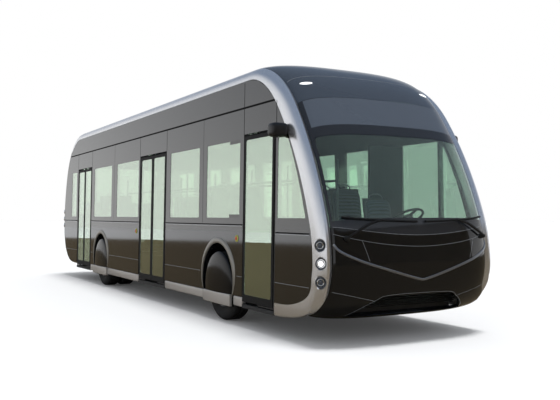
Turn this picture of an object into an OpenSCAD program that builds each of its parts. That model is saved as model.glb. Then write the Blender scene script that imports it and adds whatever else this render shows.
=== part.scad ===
// Low-floor electric city bus: sliding-swing doors, steered front wheels, twin rear wheels.
// Millimetres, +X forward, +Y left, +Z up, origin on the ground under the middle of the bus.

/* [Overall] */
// Length over nose and tail
bus_length = 12160; // [12000:10:12300]
// Width over the sills
bus_width = 2550; // [2500:5:2560]
// Height of the roof crown
bus_height = 3470; // [3430:5:3510]
// Tail to rear axle
rear_overhang = 3500; // [3480:5:3520]
// Nose to front axle
front_overhang = 2860; // [2840:5:2880]
// Underside of the skirts above the ground
belly_z = 265; // [260:1:270]
// Height at which the walls start to lean
sill_z = 400; // [395:1:405]
// Inward lean of each wall, in degrees
wall_lean = 0.95; // [0.5:0.05:1.2]
// Thickness of the side walls
wall = 60; // [50:1:70]
// Gap between two fixed pieces that seat on each other
seat_gap = 0.3; // [0.2:0.05:0.5]
// Gap between a wall and the frame hoop round it
hoop_gap = 1; // [0.8:0.1:1.5]

/* [Body section] */
// Height of the foremost point of the nose
nose_z = 910; // [900:5:920]
// Radius of the chin below the nose
chin_r = 900; // [880:5:920]
// Angle over which that radius runs
chin_angle = 15; // [13:0.5:17]
// Radius of the nose above its foremost point
nose_r = 1910; // [1880:5:1940]
// Angle over which that radius runs
nose_angle = 18; // [17:0.5:19]
// Radius of the windscreen in side view
screen_r = 4980; // [4900:10:5060]
// Radius of the brow between windscreen and roof
brow_r = 1484; // [1470:1:1500]
// Height of the rearmost point of the tail
tail_z = 1300; // [1280:5:1320]
// Radius of the tail above that point
tail_r = 3500; // [3450:10:3550]
// Angle over which that radius runs
tail_angle = 19.3; // [19:0.1:19.6]
// Depth of the rounded corner at the nose
nose_corner = 385; // [375:5:395]
// Depth of the rounded corner along the roof
roof_corner = 238; // [228:1:248]
// Depth of the rounded corner along the belly
belly_corner = 150; // [145:1:155]
// Depth of the rounded corner at the tail
tail_corner = 300; // [290:5:310]
// Where the frame hoop meets the front and roof skins, in degrees of the corner
hoop_angle = 62.5; // [61:0.5:64]
// The same angle under the belly
belly_edge = 35; // [33:0.5:37]
// Thickness of the frame hoop
hoop_t = 45; // [40:1:50]
// Thickness of the roof
roof_t = 40; // [35:1:45]
// Thickness of the moulded front and rear panels
panel_t = 40; // [35:1:45]
// Thickness of the windscreen
screen_t = 10; // [8:1:12]

/* [Walls and windows] */
// Underside of the row of windows
window_z = 1435; // [1420:5:1450]
// Wall between the tops of windows and doors
window_head = 58; // [50:1:70]
// Corner radius of the windows
window_r = 20; // [15:1:30]
// Wall between the front door and the quarter window
quarter_in = 50; // [40:1:60]
// Middle of the wall between the left cab window and its quarter window, ahead of the front door
left_pillar = 185; // [180:1:200]
// Wall between the quarter window and the frame hoop
quarter_edge = 90; // [80:1:100]
// Thickness of the window panes
pane_t = 8; // [6:1:10]
// How far a pane lies behind the wall face
pane_in = 3; // [2:1:4]
// Gap all round a pane
pane_gap = 0.3; // [0.2:0.05:0.5]
// Height of the cove panels, from the drip line to the roof crown
cove_h = 590; // [570:5:610]
// Radius of the wheel openings
arch_r = 500; // [498:1:510]
// Height of their centre
arch_z = 580; // [575:1:590]

/* [Floor] */
// Top of the low floor
floor_z = 310; // [305:1:312]
// Thickness of the floor
floor_t = 40; // [35:1:45]
// Half length of the front wheel boxes
front_box = 620; // [610:5:640]
// Half length of the rear wheel boxes
rear_box = 545; // [540:5:560]
// Half width of the aisle between the front boxes
front_aisle = 540; // [530:5:550]
// Half width of the aisle between the rear boxes
rear_aisle = 560; // [550:5:570]
// Inside height of the wheel boxes
box_z = 1085; // [1084:1:1095]
// Sheet thickness of the wheel boxes
box_t = 20; // [15:1:25]
// Front edge of the raised rear platform behind the tail
platform_len = 1380; // [1350:10:1400]
// Top of the rear platform
platform_z = 1000; // [960:10:1040]

/* [Wheels] */
// Tyre radius
tyre_r = 480; // [478:1:482]
// Tyre width
tyre_w = 275; // [265:1:278]
// Seat radius of the rims
rim_r = 286; // [280:1:290]
// Distance of the front wheel's middle from the centre line
front_track = 1072; // [1068:1:1074]
// Distance of the outer rear tyre's middle from the centre line
rear_track = 1078; // [1074:1:1080]
// Distance between the twin tyres
twin_pitch = 320; // [315:1:325]
// Distance of the kingpins from the centre line
kingpin_y = 950; // [948:1:952]
// Radius of the kingpins
kingpin_r = 30; // [28:1:32]
// Radius of the wheel spindles
spindle_r = 40; // [36:1:44]
// Radial clearance of everything that turns
run_fit = 0.05; // [0.03:0.01:0.08]
// Radius of the wheel covers
spat_r = 455; // [445:1:458]
// Thickness of the wheel covers at their rims
spat_t = 38; // [34:1:40]
// How far the front covers bulge out of the side
spat_bulge = 30; // [20:1:40]
// How far the rear covers bulge out of the side
rear_bulge = 30; // [20:1:40]
// Radius of the tubes that carry the front covers
carrier_r = 12; // [10:1:14]

/* [Doors] */
// Rear jamb of the front door, ahead of the front axle
front_door_at = 760; // [750:5:780]
// Opening width of the front door
front_door_w = 864; // [840:2:880]
// Middle of the middle door
mid_door_x = 503; // [495:1:511]
// Opening width of the middle door
mid_door_w = 1334; // [1300:2:1340]
// Middle of the rear door, behind the rear axle
rear_door_at = 1373; // [1360:1:1380]
// Opening width of the rear door
rear_door_w = 1186; // [1160:2:1200]
// Underside of the door leaves
door_z = 346; // [344:1:350]
// Height of the door leaves, as a share of the height of the roof crown
door_share = 0.621; // [0.617:0.001:0.625]
// Thickness of the door leaves
leaf_t = 40; // [36:1:42]
// Frame width of the door leaves
leaf_frame = 52; // [45:1:60]
// How far the leaves lie behind the wall face
leaf_in = 2; // [1:1:4]
// Radius of the turning posts
post_r = 16; // [14:1:18]
// Clear gap on each side of a post
post_gap = 7; // [6:1:9]
// Distance of a leaf's guide roller from its leading edge
roller_in = 20; // [18:1:26]
// Gap between two leaves, or a leaf and its jamb
leaf_gap = 10; // [8:1:14]
// Thickness of the arms
arm_t = 14; // [12:1:15]
// Width of the arms
arm_w = 30; // [26:1:34]
// Clear gap above and below the arms
arm_gap = 7; // [6:1:8]
// Radius of the pins at the arms' ends
pin_r = 8; // [7:1:9]

/* [Cabin] */
// Height of the seat cushions above their floor
seat_z = 450; // [430:5:470]
// Width of one seat
seat_w = 430; // [420:5:440]
// Height of the seat backs above the cushions
back_h = 640; // [600:10:680]
// Radius of the poles and rails
pole_r = 17; // [15:1:19]
// Distance between seat rows on the left
seat_pitch = 800; // [780:5:820]
// Distance between seat rows on the right
side_pitch = 600; // [590:5:620]
// Handrails below the roof crown
rail_drop = 1510; // [1470:10:1550]
// Radius of the steering wheel
steer_r = 225; // [215:1:235]
// Tilt of the steering column, in degrees
steer_tilt = 30; // [28:1:32]

/* [Hidden] */
$fa = 5;
$fs = 4;
half = bus_width/2;
nose_x = bus_length/2;
tail_x = -nose_x;
axle_f = nose_x - front_overhang;
axle_r = tail_x + rear_overhang;
axle_z = tyre_r;

// The centre profile is a chain of arcs; each is kept as centre and radius.
function polar(r, a) = [r*cos(a), r*sin(a)];
chin_c = [nose_x - chin_r, nose_z];
chin_p = chin_c + polar(chin_r, -chin_angle);
keel_r = (chin_p[1] - belly_z)/(1 - sin(chin_angle));
keel_c = chin_p - polar(keel_r, -chin_angle);
nose_c = [nose_x - nose_r, nose_z];
screen_c = nose_c + polar(nose_r - screen_r, nose_angle);
brow_angle = asin((bus_height - brow_r - screen_c[1])/(screen_r - brow_r));
brow_p = screen_c + polar(screen_r, brow_angle);
brow_c = brow_p - polar(brow_r, brow_angle);
tail_c = [tail_x + tail_r, tail_z];
crest_p = tail_c + polar(tail_r, 180 - tail_angle);
crest_r = (bus_height - crest_p[1])/(1 - sin(tail_angle));
crest_c = crest_p - polar(crest_r, 180 - tail_angle);
under_r = tail_z - belly_z;
under_c = [tail_x + under_r, tail_z];

// Station of the profile whose outward normal points at angle a: [x, z, a].
function on_arc(c, r, a) = [c[0] + r*cos(a), c[1] + r*sin(a), a];
function front_at(a) = a < -chin_angle ? on_arc(keel_c, keel_r, a)
    : a < 0 ? on_arc(chin_c, chin_r, a)
    : a < nose_angle ? on_arc(nose_c, nose_r, a)
    : a < brow_angle ? on_arc(screen_c, screen_r, a)
    : on_arc(brow_c, brow_r, a);
function rear_at(a) = a < 180 - tail_angle ? on_arc(crest_c, crest_r, a)
    : a < 180 ? on_arc(tail_c, tail_r, a)
    : on_arc(under_c, under_r, a);
// Normal angle of the front profile at height z, above the nose.
function front_angle(z) = z < nose_z ? asin((z - keel_c[1])/keel_r)
    : z < nose_c[1] + nose_r*sin(nose_angle) ? asin((z - nose_c[1])/nose_r)
    : z < brow_p[1] ? asin((z - screen_c[1])/screen_r)
    : asin((z - brow_c[1])/brow_r);
function rear_angle(z) = z < tail_z ? 180 + asin((tail_z - z)/under_r)
    : z < crest_p[1] ? 180 - asin((z - tail_z)/tail_r)
    : 180 - asin((z - crest_c[1])/crest_r);

// Depth of the rounded corner at normal angle a.
function ease(t) = t*t*(3 - 2*t);
function corner(a) = a < -chin_angle ? belly_corner + (nose_corner - belly_corner)*ease((a + 90)/(90 - chin_angle))
    : a < brow_angle ? nose_corner
    : a < 90 ? nose_corner + (roof_corner - nose_corner)*ease((a - brow_angle)/(90 - brow_angle))
    : a < 180 - tail_angle ? roof_corner + (tail_corner - roof_corner)*ease((a - 90)/(90 - tail_angle))
    : a < 180 ? tail_corner
    : tail_corner + (belly_corner - tail_corner)*ease((a - 180)/90);
function half_at(z) = half - max(0, z - sill_z)*tan(wall_lean);
// Point of the skin: station s, corner angle phi (0 centre line, 90 wall), depth d below the surface.
function skin(s, phi, d) =
    let (c = pow(abs(cos(phi)), 2/3), e = pow(abs(sin(phi)), 2/3), f = d + (corner(s[2]) - d)*(1 - c),
         z = s[1] - f*sin(s[2]))
    [s[0] - f*cos(s[2]), sign(phi)*e*(half_at(z) - d), z];

// Closed slab between an outer and an inner grid of points.
function flat(g) = [for (r = g) for (p = r) p];
function quad(a, b, c, d) = [[a, b, c], [a, c, d]];
module slab(o, n) {
    R = len(o);
    C = len(o[0]);
    K = R*C;
    polyhedron(points = concat(flat(o), flat(n)), convexity = 8, faces = concat(
        [for (i = [0:R-2]) for (j = [0:C-2]) each quad(i*C+j, (i+1)*C+j, (i+1)*C+j+1, i*C+j+1)],
        [for (i = [0:R-2]) for (j = [0:C-2]) each quad(K+i*C+j, K+i*C+j+1, K+(i+1)*C+j+1, K+(i+1)*C+j)],
        [for (j = [0:C-2]) each quad(j, j+1, K+j+1, K+j)],
        [for (j = [0:C-2]) each quad((R-1)*C+j+1, (R-1)*C+j, K+(R-1)*C+j, K+(R-1)*C+j+1)],
        [for (i = [0:R-2]) each quad((i+1)*C, i*C, K+i*C, K+(i+1)*C)],
        [for (i = [0:R-2]) each quad((i+1)*C+C-1, K+(i+1)*C+C-1, K+i*C+C-1, i*C+C-1)]));
}
// Corner angle at which the hoop starts; it reaches further under the belly.
function edge_at(a) = a < -30 ? hoop_angle - (hoop_angle - belly_edge)*ease((-30 - a)/60)
    : a > 210 ? hoop_angle - (hoop_angle - belly_edge)*ease((a - 210)/60)
    : hoop_angle;
function skin_u(s, u, d) = skin(s, u*(edge_at(s[2]) - skin_gap), d);
function hoop_v(s, v, d) = skin(s, edge_at(s[2]) + (90 - edge_at(s[2]))*v, d);
// Slab of the skin between the hoops over a list of stations.
module skin_run(stations, d0, d1) {
    slab([for (s = stations) [for (u = across) skin_u(s, u, d0)]], [for (s = stations) [for (u = across) skin_u(s, u, d1)]]);
}
// Slab of one hoop, on the left, over a list of stations.
module hoop_run(stations) {
    slab([for (s = stations) [for (v = round_v) hoop_v(s, v, 0)]], [for (s = stations) [for (v = round_v) hoop_v(s, v, hoop_t)]]);
}
// Slab of the front skin; turn(i, u) is the normal angle of row i at u, which runs from -1 to 1 across.
module front_patch(turn, n, d0, d1) {
    g = [for (i = [0:n]) [for (u = across) front_at(turn(i, u))]];
    c = [0:len(across)-1];
    slab([for (r = g) [for (j = c) skin_u(r[j], across[j], d0)]], [for (r = g) [for (j = c) skin_u(r[j], across[j], d1)]]);
}

// Joints of the front and roof skins, as normal angles of the profile; the two curved ones vary with u.
cap_from = 38.3;
roof_from = 56.3;
seam_a = 0.02;
function across_sq(u) = pow(abs(sin(u*hoop_angle))/sin(hoop_angle), 4/3);
// Lower edge of the windscreen: lowest on the centre line.
function smile(u) = 10.1 + 4.2*across_sq(u);
// Joint between the front panel and the bumper: lowest on the centre line.
function chin_line(u) = -26 + 9*across_sq(u);
// Rows of each skin from edge to edge; the hoops use the same rows, so that neighbours keep one outline.
keel_step = (90 - chin_angle)/4;
function bumper_a(i, u) = i < 4 ? -90 + (chin_line(u) + 90)*i*keel_step/(chin_line(1) + 90) : chin_line(u);
function panel_a(i, u) = i < 6 ? chin_line(u)*(1 - i/6) : smile(u)*(i - 6)/3;
function screen_a(i, u) = smile(u) + (cap_from - smile(u))*i/9;
function cap_a(i) = cap_from + (roof_from - cap_from)*i/5;
function roof_a(i) = roof_from + (90 - roof_from)*i/3;

skin_gap = 0.05;
across = [for (i = [-6:6]) i/6];
round_v = [for (i = [0:5]) i/5];
front_a = concat([for (i = [0:3]) bumper_a(i, 1)], [for (i = [0:9]) panel_a(i, 1)], [for (i = [1:9]) screen_a(i, 1)],
    [for (i = [1:5]) cap_a(i)], [for (i = [1:3]) roof_a(i)]);
crest_a = [for (i = [0:8]) 90 + (90 - tail_angle)*i/8];
roof_to = crest_a[7];
rear_glass_z = tail_z + 200;
glass_to = rear_angle(rear_glass_z);
pane_a = [for (i = [1:3]) crest_a[8] + (glass_to - crest_a[8])*i/3];
under_a = [for (i = [0:7]) 180 + 90*i/7];
hoop_end = 4;

front_jamb_r = axle_f + front_door_at;
front_jamb_f = front_jamb_r + front_door_w;
mid_jamb_r = mid_door_x - mid_door_w/2;
mid_jamb_f = mid_jamb_r + mid_door_w;
rear_jamb_r = axle_r - rear_door_at - rear_door_w/2;
rear_jamb_f = rear_jamb_r + rear_door_w;
belly_front = [front_jamb_f + seat_gap, belly_z, -90];
belly_rear = [rear_jamb_r - seat_gap, belly_z, 270];
hoop_s = concat([belly_front], [for (a = front_a) front_at(a)], [for (i = [0:hoop_end]) rear_at(crest_a[i])]);
tail_s = concat([for (i = [hoop_end:8]) rear_at(crest_a[i])], [for (a = concat(pane_a, under_a)) rear_at(a)], [belly_rear]);

// Wall outline inside the hoops, seen from the side.
function rim_point(s) = [s[0] - (corner(s[2]) + hoop_gap)*cos(s[2]), s[1] - (corner(s[2]) + hoop_gap)*sin(s[2])];
module wall_outline() {
    polygon([for (s = concat(hoop_s, tail_s)) rim_point(s)]);
    translate([rear_jamb_r, belly_z])
        square([front_jamb_f - rear_jamb_r, tail_z - belly_z]);
}
// Stand on the leaning right wall: y = 0 is the outer face, +y points inward.
module on_right() {
    translate([0, -half, sill_z])
        rotate([-wall_lean, 0, 0])
            translate([0, 0, -sill_z])
                children();
}
module on_left() {
    mirror([0, 1, 0])
        on_right()
            children();
}
module both() {
    children();
    mirror([0, 1, 0])
        children();
}
module plate(y0, t) {
    translate([0, y0 + t, 0])
        rotate([90, 0, 0])
            linear_extrude(t)
                children();
}
module box(a, b) {
    translate(a)
        cube(b - a);
}
module rounded(x0, x1, z0, z1, r) {
    translate([x0 + r, z0])
        square([x1 - x0 - 2*r, z1 - z0]);
    translate([x0, z0 + r])
        square([x1 - x0, z1 - z0 - 2*r]);
    for (x = [x0 + r, x1 - r])
        for (z = [z0 + r, z1 - r])
            translate([x, z])
                circle(r);
}

// Heights that follow the roof.
drip_z = bus_height - cove_h;
door_h = door_share*bus_height;
header_z = door_z + door_h + 2*arm_gap + arm_t;
window_h = header_z - window_head - window_z;
rail_z = bus_height - rail_drop;

// Window ranges along each wall.
rear_bay = [rear_jamb_f + 210, mid_jamb_r - 66];
front_bay = [mid_jamb_f + 190, front_jamb_r - 110];
rear_pillar = 360;
front_pillar = 280;
rear_pane = (rear_bay[1] - rear_bay[0] - rear_pillar)*0.492;
front_pane = (front_bay[1] - front_bay[0] - front_pillar)*0.525;
right_windows = [[rear_jamb_r - 560, rear_jamb_r - 130], [rear_bay[0], rear_bay[0] + rear_pane],
    [rear_bay[0] + rear_pane + rear_pillar, rear_bay[1]], [front_bay[0], front_bay[0] + front_pane],
    [front_bay[0] + front_pane + front_pillar, front_bay[1]]];
left_windows = concat([for (i = [0, 1, 2, 3, 4]) right_windows[i]], [[rear_jamb_r + 130, rear_jamb_f - 20],
    [mid_jamb_r + 130, mid_jamb_f - 20], [front_jamb_r + 240, front_jamb_f + left_pillar - quarter_in/2]]);
left_quarter = front_jamb_f + left_pillar + quarter_in/2;
module window(w, g) {
    rounded(w[0] + g, w[1] - g, window_z + g, window_z + window_h - g, window_r - g);
}
// Front quarter window: upright at x0, its front edge follows the hoop up to height z1.
module quarter(x0, z1, g) {
    polygon(concat([[x0 + g, z1 - g], [x0 + g, window_z + g]],
        [for (i = [0:4]) let (z = window_z + g + (z1 - window_z - 2*g)*i/4) [rim_x(z) - quarter_edge - g, z]]));
}
function rim_x(z) = front_at(front_angle(z))[0] - nose_corner;
module arches() {
    for (x = [axle_f, axle_r]) {
        translate([x, arch_z])
            circle(arch_r);
        translate([x - arch_r, 0])
            square([2*arch_r, arch_z]);
    }
}
skirt_top = sill_z - wall*sin(wall_lean) - seat_gap;
module wall_part(x0, x1) {
    intersection() {
        wall_outline();
        translate([x0, sill_z])
            square([x1 - x0, drip_z - sill_z - seat_gap]);
    }
}

// Door gear, in the wall's own frame.
post_y = leaf_in + leaf_t/2;
post_at = post_r + post_gap;
leaf_end = post_at + post_r + post_gap;
// Arm length of a leaf whose post stands in an opening and whose leading edge lies at reach r from the jamb.
function arm_of(r) = (r - post_at - roller_in)/2;
front_reach = front_door_w - leaf_gap;
mid_reach = (mid_door_w - leaf_gap)/2;
rear_reach = (rear_door_w - leaf_gap)/2;
// Place a leaf's gear: jamb at x, dir +1 when the leaf runs forward from its jamb.
module at_jamb(x, dir) {
    on_right()
        translate([x, 0, 0])
            mirror([dir < 0 ? 1 : 0, 0, 0])
                children();
}
glass_z0 = door_z + leaf_frame + 40;
glass_z1 = door_z + door_h - leaf_frame;
module leaf_hole(reach, g) {
    rounded(leaf_end + leaf_frame + g, reach - leaf_frame - g, glass_z0 + g, glass_z1 - g, 30 - g);
}
module leaf(reach) {
    a = arm_of(reach);
    difference() {
        union() {
            plate(leaf_in, leaf_t)
                difference() {
                    translate([leaf_end, door_z])
                        square([reach - leaf_end, door_h]);
                    leaf_hole(reach, 0);
                }
            translate([post_at + 2*a, post_y, door_z + door_h - 1])
                cylinder(r = pin_r, h = 2*arm_gap + arm_t + 7);
        }
        for (z = [door_z - 1, door_z + door_h - 25])
            translate([post_at + a, post_y, z])
                cylinder(r = pin_r + run_fit, h = 26);
    }
}
module leaf_glass(reach) {
    plate(leaf_in + pane_in, pane_t)
        leaf_hole(reach, pane_gap);
}
module arm(reach) {
    a = arm_of(reach);
    low = door_z - arm_gap - arm_t;
    high = door_z + door_h + arm_gap;
    translate([post_at, post_y, low])
        cylinder(r = post_r, h = high + arm_t - low);
    translate([post_at, post_y, low - 30])
        cylinder(r = pin_r, h = header_z + 20 - low + 30);
    for (z = [low, high]) {
        translate([post_at, post_y - arm_w/2, z])
            cube([a, arm_w, arm_t]);
        translate([post_at + a, post_y, z])
            cylinder(r = arm_w/2, h = arm_t);
    }
    translate([post_at + a, post_y, low])
        cylinder(r = pin_r, h = arm_gap + arm_t + 20);
    translate([post_at + a, post_y, high - arm_gap - 20])
        cylinder(r = pin_r, h = arm_gap + 21);
}
// Header over a doorway: blind bores for the posts, a groove for each guide roller.
module header(x0, x1, posts) {
    difference() {
        on_right()
            plate(0, wall)
                intersection() {
                    wall_outline();
                    translate([x0 + seat_gap, header_z])
                        square([x1 - x0 - 2*seat_gap, drip_z - seat_gap - header_z]);
                }
        for (p = posts)
            at_jamb(p[0], p[1]) {
                translate([post_at, post_y, header_z - 1])
                    cylinder(r = pin_r + run_fit, h = 26);
                translate([post_at + 3*pin_r, post_y - pin_r - 3, header_z - 1])
                    cube([2*arm_of(p[2]), 2*pin_r + 6, 13]);
            }
    }
}
front_posts = [[front_jamb_f, -1, front_reach]];
mid_posts = [[mid_jamb_r, 1, mid_reach], [mid_jamb_f, -1, mid_reach]];
rear_posts = [[rear_jamb_r, 1, rear_reach], [rear_jamb_f, -1, rear_reach]];

floor_tail = tail_x + 420;
floor_nose = nose_x - 700;
// The front tow beam is bolted to the floor's front edge; this is where its eye is.
front_eye = nose_x - 645;
module chassis_frame() color("#33363a") {
    difference() {
        union() {
            for (s = [-1, 1])
                box([tail_x + 1000, s*480 - 45, 190], [nose_x - 1300, s*480 + 45, floor_z - floor_t - seat_gap]);
            for (x = [tail_x + 1000, axle_r - 700, axle_r + 700, mid_door_x, axle_f - 760, axle_f + 700, nose_x - 1420])
                box([x, -440, 200], [x + 120, 440, floor_z - floor_t - seat_gap]);
            box([floor_nose + seat_gap, -60, floor_z - floor_t], [front_eye + 55, 60, floor_z]);
            box([tail_x + 700, -60, 225], [tail_x + 1000 - seat_gap, 60, 265]);
            for (x = [axle_f - 900, axle_r + 900])
                for (y = [-480, 480])
                    translate([x, y, 170])
                        cylinder(r = 40, h = 25);
        }
        translate([front_eye, 0, 240])
            cylinder(r = 25, h = 100);
        translate([tail_x + 760, 0, 200])
            cylinder(r = 25, h = 100);
    }
}
// The wheel boxes meet the leaning walls at their tops.
box_top = box_z + box_t;
box_y = half_at(box_top) - wall - seat_gap;
module wheel_box(x, len, aisle) {
    box([x - len - box_t, -box_y, floor_z - floor_t], [x + len + box_t, -aisle, box_top]);
}
module wheel_room(x, len, aisle) {
    box([x - len, -half - 1, 0], [x + len, -aisle - box_t, box_z]);
}
module floor() color("#5c5f63")
    difference() {
        union() {
            box([rear_jamb_r, -half + wall + seat_gap, floor_z - floor_t], [front_jamb_f, half - wall - seat_gap, floor_z]);
            box([floor_tail + 500, -780, floor_z - floor_t], [floor_nose, 780, floor_z]);
            for (p = [rear_posts, mid_posts])
                box([p[0][0] + seat_gap, -half + 3, belly_z - 5], [p[1][0] - seat_gap, -half + wall + 10, floor_z]);
            box([front_jamb_r + seat_gap, -half + 3, belly_z - 5], [front_jamb_f - seat_gap, -half + wall + 10, floor_z]);
            both() {
                wheel_box(axle_f, front_box, front_aisle);
                wheel_box(axle_r, rear_box, rear_aisle);
            }
            box([floor_tail, -1130, platform_z - 40], [tail_x + platform_len, 1130, platform_z]);
            box([tail_x + platform_len - 40, -780, floor_z - 10], [tail_x + platform_len, 780, platform_z]);
            box([tail_x + platform_len - 40, -1130, sill_z + 40], [tail_x + platform_len, 1130, platform_z]);
        }
        both() {
            wheel_room(axle_f, front_box, front_aisle);
            wheel_room(axle_r, rear_box, rear_aisle);
        }
        for (p = concat(front_posts, mid_posts, rear_posts))
            at_jamb(p[0], p[1])
                translate([post_at, post_y, belly_z - 20])
                    cylinder(r = pin_r + run_fit, h = floor_z);
    }
module front_axle() color("#2c2e31")
    both()
        difference() {
            union() {
                translate([axle_f, -kingpin_y, axle_z - 70])
                    cylinder(r = 55, h = 140);
                box([axle_f - 45, -kingpin_y, axle_z - 40], [axle_f + 45, -front_aisle - box_t - seat_gap, axle_z + 40]);
                box([axle_f - 130, -front_aisle - box_t - 30, axle_z - 110],
                    [axle_f + 130, -front_aisle - box_t - seat_gap, axle_z + 110]);
            }
            translate([axle_f, -kingpin_y, axle_z - 100])
                cylinder(r = kingpin_r + run_fit, h = 200);
        }
module rear_axle() color("#2c2e31")
    both() {
        box([axle_r - 130, -rear_aisle - box_t - 25, axle_z - 110],
            [axle_r + 130, -rear_aisle - box_t - seat_gap, axle_z + 110]);
        translate([axle_r, -rear_aisle - box_t - 20, axle_z])
            rotate([90, 0, 0])
                cylinder(r = spindle_r, h = rear_track + 100 - rear_aisle - box_t - 20);
    }
module traction_motor() color("#8a8d90")
    box([tail_x + 520, -350, platform_z - 480], [tail_x + 900, 350, platform_z - 40 - seat_gap]);
module battery_pack() color("#6f7478")
    box([tail_x + 960, -760, floor_z + seat_gap], [tail_x + platform_len - 40 - seat_gap, 760, platform_z - 40 - seat_gap]);

module right_side() color("#15171a") {
    difference() {
        on_right()
            plate(0, wall)
                difference() {
                    union() {
                        wall_part(tail_x, rear_jamb_r);
                        wall_part(rear_jamb_f, mid_jamb_r);
                        wall_part(mid_jamb_f, front_jamb_r);
                        wall_part(front_jamb_f, nose_x);
                    }
                    arches();
                    for (w = right_windows)
                        window(w, 0);
                    quarter(front_jamb_f + quarter_in, window_z + window_h, 0);
                }
    }
    header(rear_jamb_r, rear_jamb_f, rear_posts);
    header(mid_jamb_r, mid_jamb_f, mid_posts);
    header(front_jamb_r, front_jamb_f, front_posts);
}
left_seams = [tail_x, rear_jamb_f + 60, (right_windows[1][1] + right_windows[2][0])/2, mid_jamb_f + 60,
    (right_windows[3][1] + right_windows[4][0])/2, nose_x];
module left_side() color("#15171a")
    on_left()
        plate(0, wall)
            difference() {
                for (i = [0:len(left_seams)-2])
                    wall_part(left_seams[i], left_seams[i+1] - seat_gap);
                arches();
                for (w = left_windows)
                    window(w, 0);
                quarter(left_quarter, window_z + window_h, 0);
            }
module cove_panels() color("#1b1d20")
    both()
        on_right()
            plate(0, wall)
                intersection() {
                    wall_outline();
                    translate([tail_x, drip_z])
                        square([bus_length, 600]);
                }
roof_s = concat([for (i = [0:3]) front_at(roof_a(i))], [for (i = [0:7]) rear_at(crest_a[i])]);
module roof() color("#14181e")
    skin_run(roof_s, 0, roof_t);
// Step that opens a joint at the first or the last row of a skin.
function joint(i, n) = i == 0 ? seam_a : i == n ? -seam_a : 0;
module nose_cap() color("#101214")
    front_patch(function (i, u) cap_a(i) + joint(i, 5), 5, 0, panel_t);
module windscreen() color("#22303a")
    front_patch(function (i, u) screen_a(i, u), 9, 0, screen_t);
module front_panel() color("#121416")
    front_patch(function (i, u) panel_a(i, u) + 2*joint(i, 9), 9, 0, panel_t);
// Top of the lip that closes the bumper under its mouth.
lip_z = belly_z + 58;
module front_bumper() color("#121416")
    difference() {
        front_patch(function (i, u) bumper_a(i, u), 4, 0, panel_t);
        translate([nose_x - 1000, 0, 0])
            rotate([90, 0, 90])
                linear_extrude(1200)
                    polygon([[-860, lip_z], [-850, 340], [-720, 440], [-600, 510], [-500, 556], [500, 556], [600, 510],
                        [720, 440], [850, 340], [860, lip_z]]);
    }
module rear_window() color("#1d2226")
    skin_run([for (a = concat([roof_to + seam_a, crest_a[8]], pane_a)) rear_at(a)], 0, screen_t);
module rear_panel() color("#121416") {
    skin_run(concat([rear_at(glass_to + 2*seam_a)], [for (i = [0:6]) rear_at(under_a[i])]), 0, panel_t);
    both()
        difference() {
            hoop_run(concat([rear_at(tail_s[0][2] + seam_a)], [for (i = [1:len(tail_s)-1]) tail_s[i]]));
            tail_lamp_set(run_fit);
        }
}
// Foot of a hoop seen from the side, from the front door's jamb: its underside rises forward.
hoop_foot = [[0, sill_z], [0, belly_z - 8], [250, belly_z], [450, belly_z + 22], [600, belly_z + 50],
    [640, belly_z + 60], [640, sill_z]];
module frame_hoops() color("#b9bdc2")
    both()
        difference() {
            union() {
                hoop_run(hoop_s);
                translate([0, half - hoop_t, 0])
                    plate(0, hoop_t)
                        polygon([for (p = hoop_foot) [front_jamb_f + seat_gap + p[0], p[1]]]);
            }
            head_lamp_set(run_fit);
        }
module side_glass() color("#3a4a48") {
    on_right()
        plate(pane_in, pane_t) {
            for (w = right_windows)
                window(w, pane_gap);
            quarter(front_jamb_f + quarter_in, window_z + window_h, pane_gap);
        }
    on_left()
        plate(pane_in, pane_t) {
            for (w = left_windows)
                window(w, pane_gap);
            quarter(left_quarter, window_z + window_h, pane_gap);
        }
}

// Round lamps in the corner hoops: [height, corner angle], their faces turned outward by lamp_yaw.
lamp_r = 60;
lamp_yaw = 50;
head_lamps = [1172, 937, 682];
tail_lamps_z = [1560, 1380, 1200];
module lamp(s, phi, yaw, g) {
    translate(skin(s, phi, 0))
        rotate([0, 0, yaw])
            rotate([0, 90, 0])
                translate([0, 0, -40])
                    cylinder(r = lamp_r + g, h = 40 + (g > 0 ? 60 : 12));
}
module head_lamp_set(g) {
    for (z = head_lamps)
        lamp(front_at(z < nose_z ? asin((z - nose_z)/chin_r) : front_angle(z)), 77, lamp_yaw, g);
}
module tail_lamp_set(g) {
    for (z = tail_lamps_z)
        lamp(rear_at(rear_angle(z)), 77, 180 - lamp_yaw, g);
}
module headlamps() color("#dfe6ea")
    both()
        head_lamp_set(0);
module tail_lamps() color("#8c1a1a")
    both()
        tail_lamp_set(0);

module skirt(x0, x1) {
    box([x0 + seat_gap, -half, belly_z], [x1 - seat_gap, -half + wall, skirt_top]);
}
module sill_skirts() color("#9da1a6") {
    skirt(rear_jamb_f, axle_r - arch_r);
    skirt(axle_r + arch_r, mid_jamb_r);
    skirt(mid_jamb_f, axle_f - arch_r);
    skirt(axle_f + arch_r, front_jamb_r);
    mirror([0, 1, 0]) {
        skirt(rear_jamb_r, axle_r - arch_r);
        skirt(axle_r + arch_r, axle_f - arch_r);
        skirt(axle_f + arch_r, front_jamb_f);
    }
}
spat_z = belly_z - 30;
// Section of a cover from its middle to its rim: share of the radius, share of the bulge.
spat_form = [[1, 0], [0.97, 0.38], [0.9, 0.67], [0.79, 0.87], [0.66, 0.97], [0, 1]];
function spat_half(r, b) = [for (p = spat_form) [p[0]*r, p[1]*b]];
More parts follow.
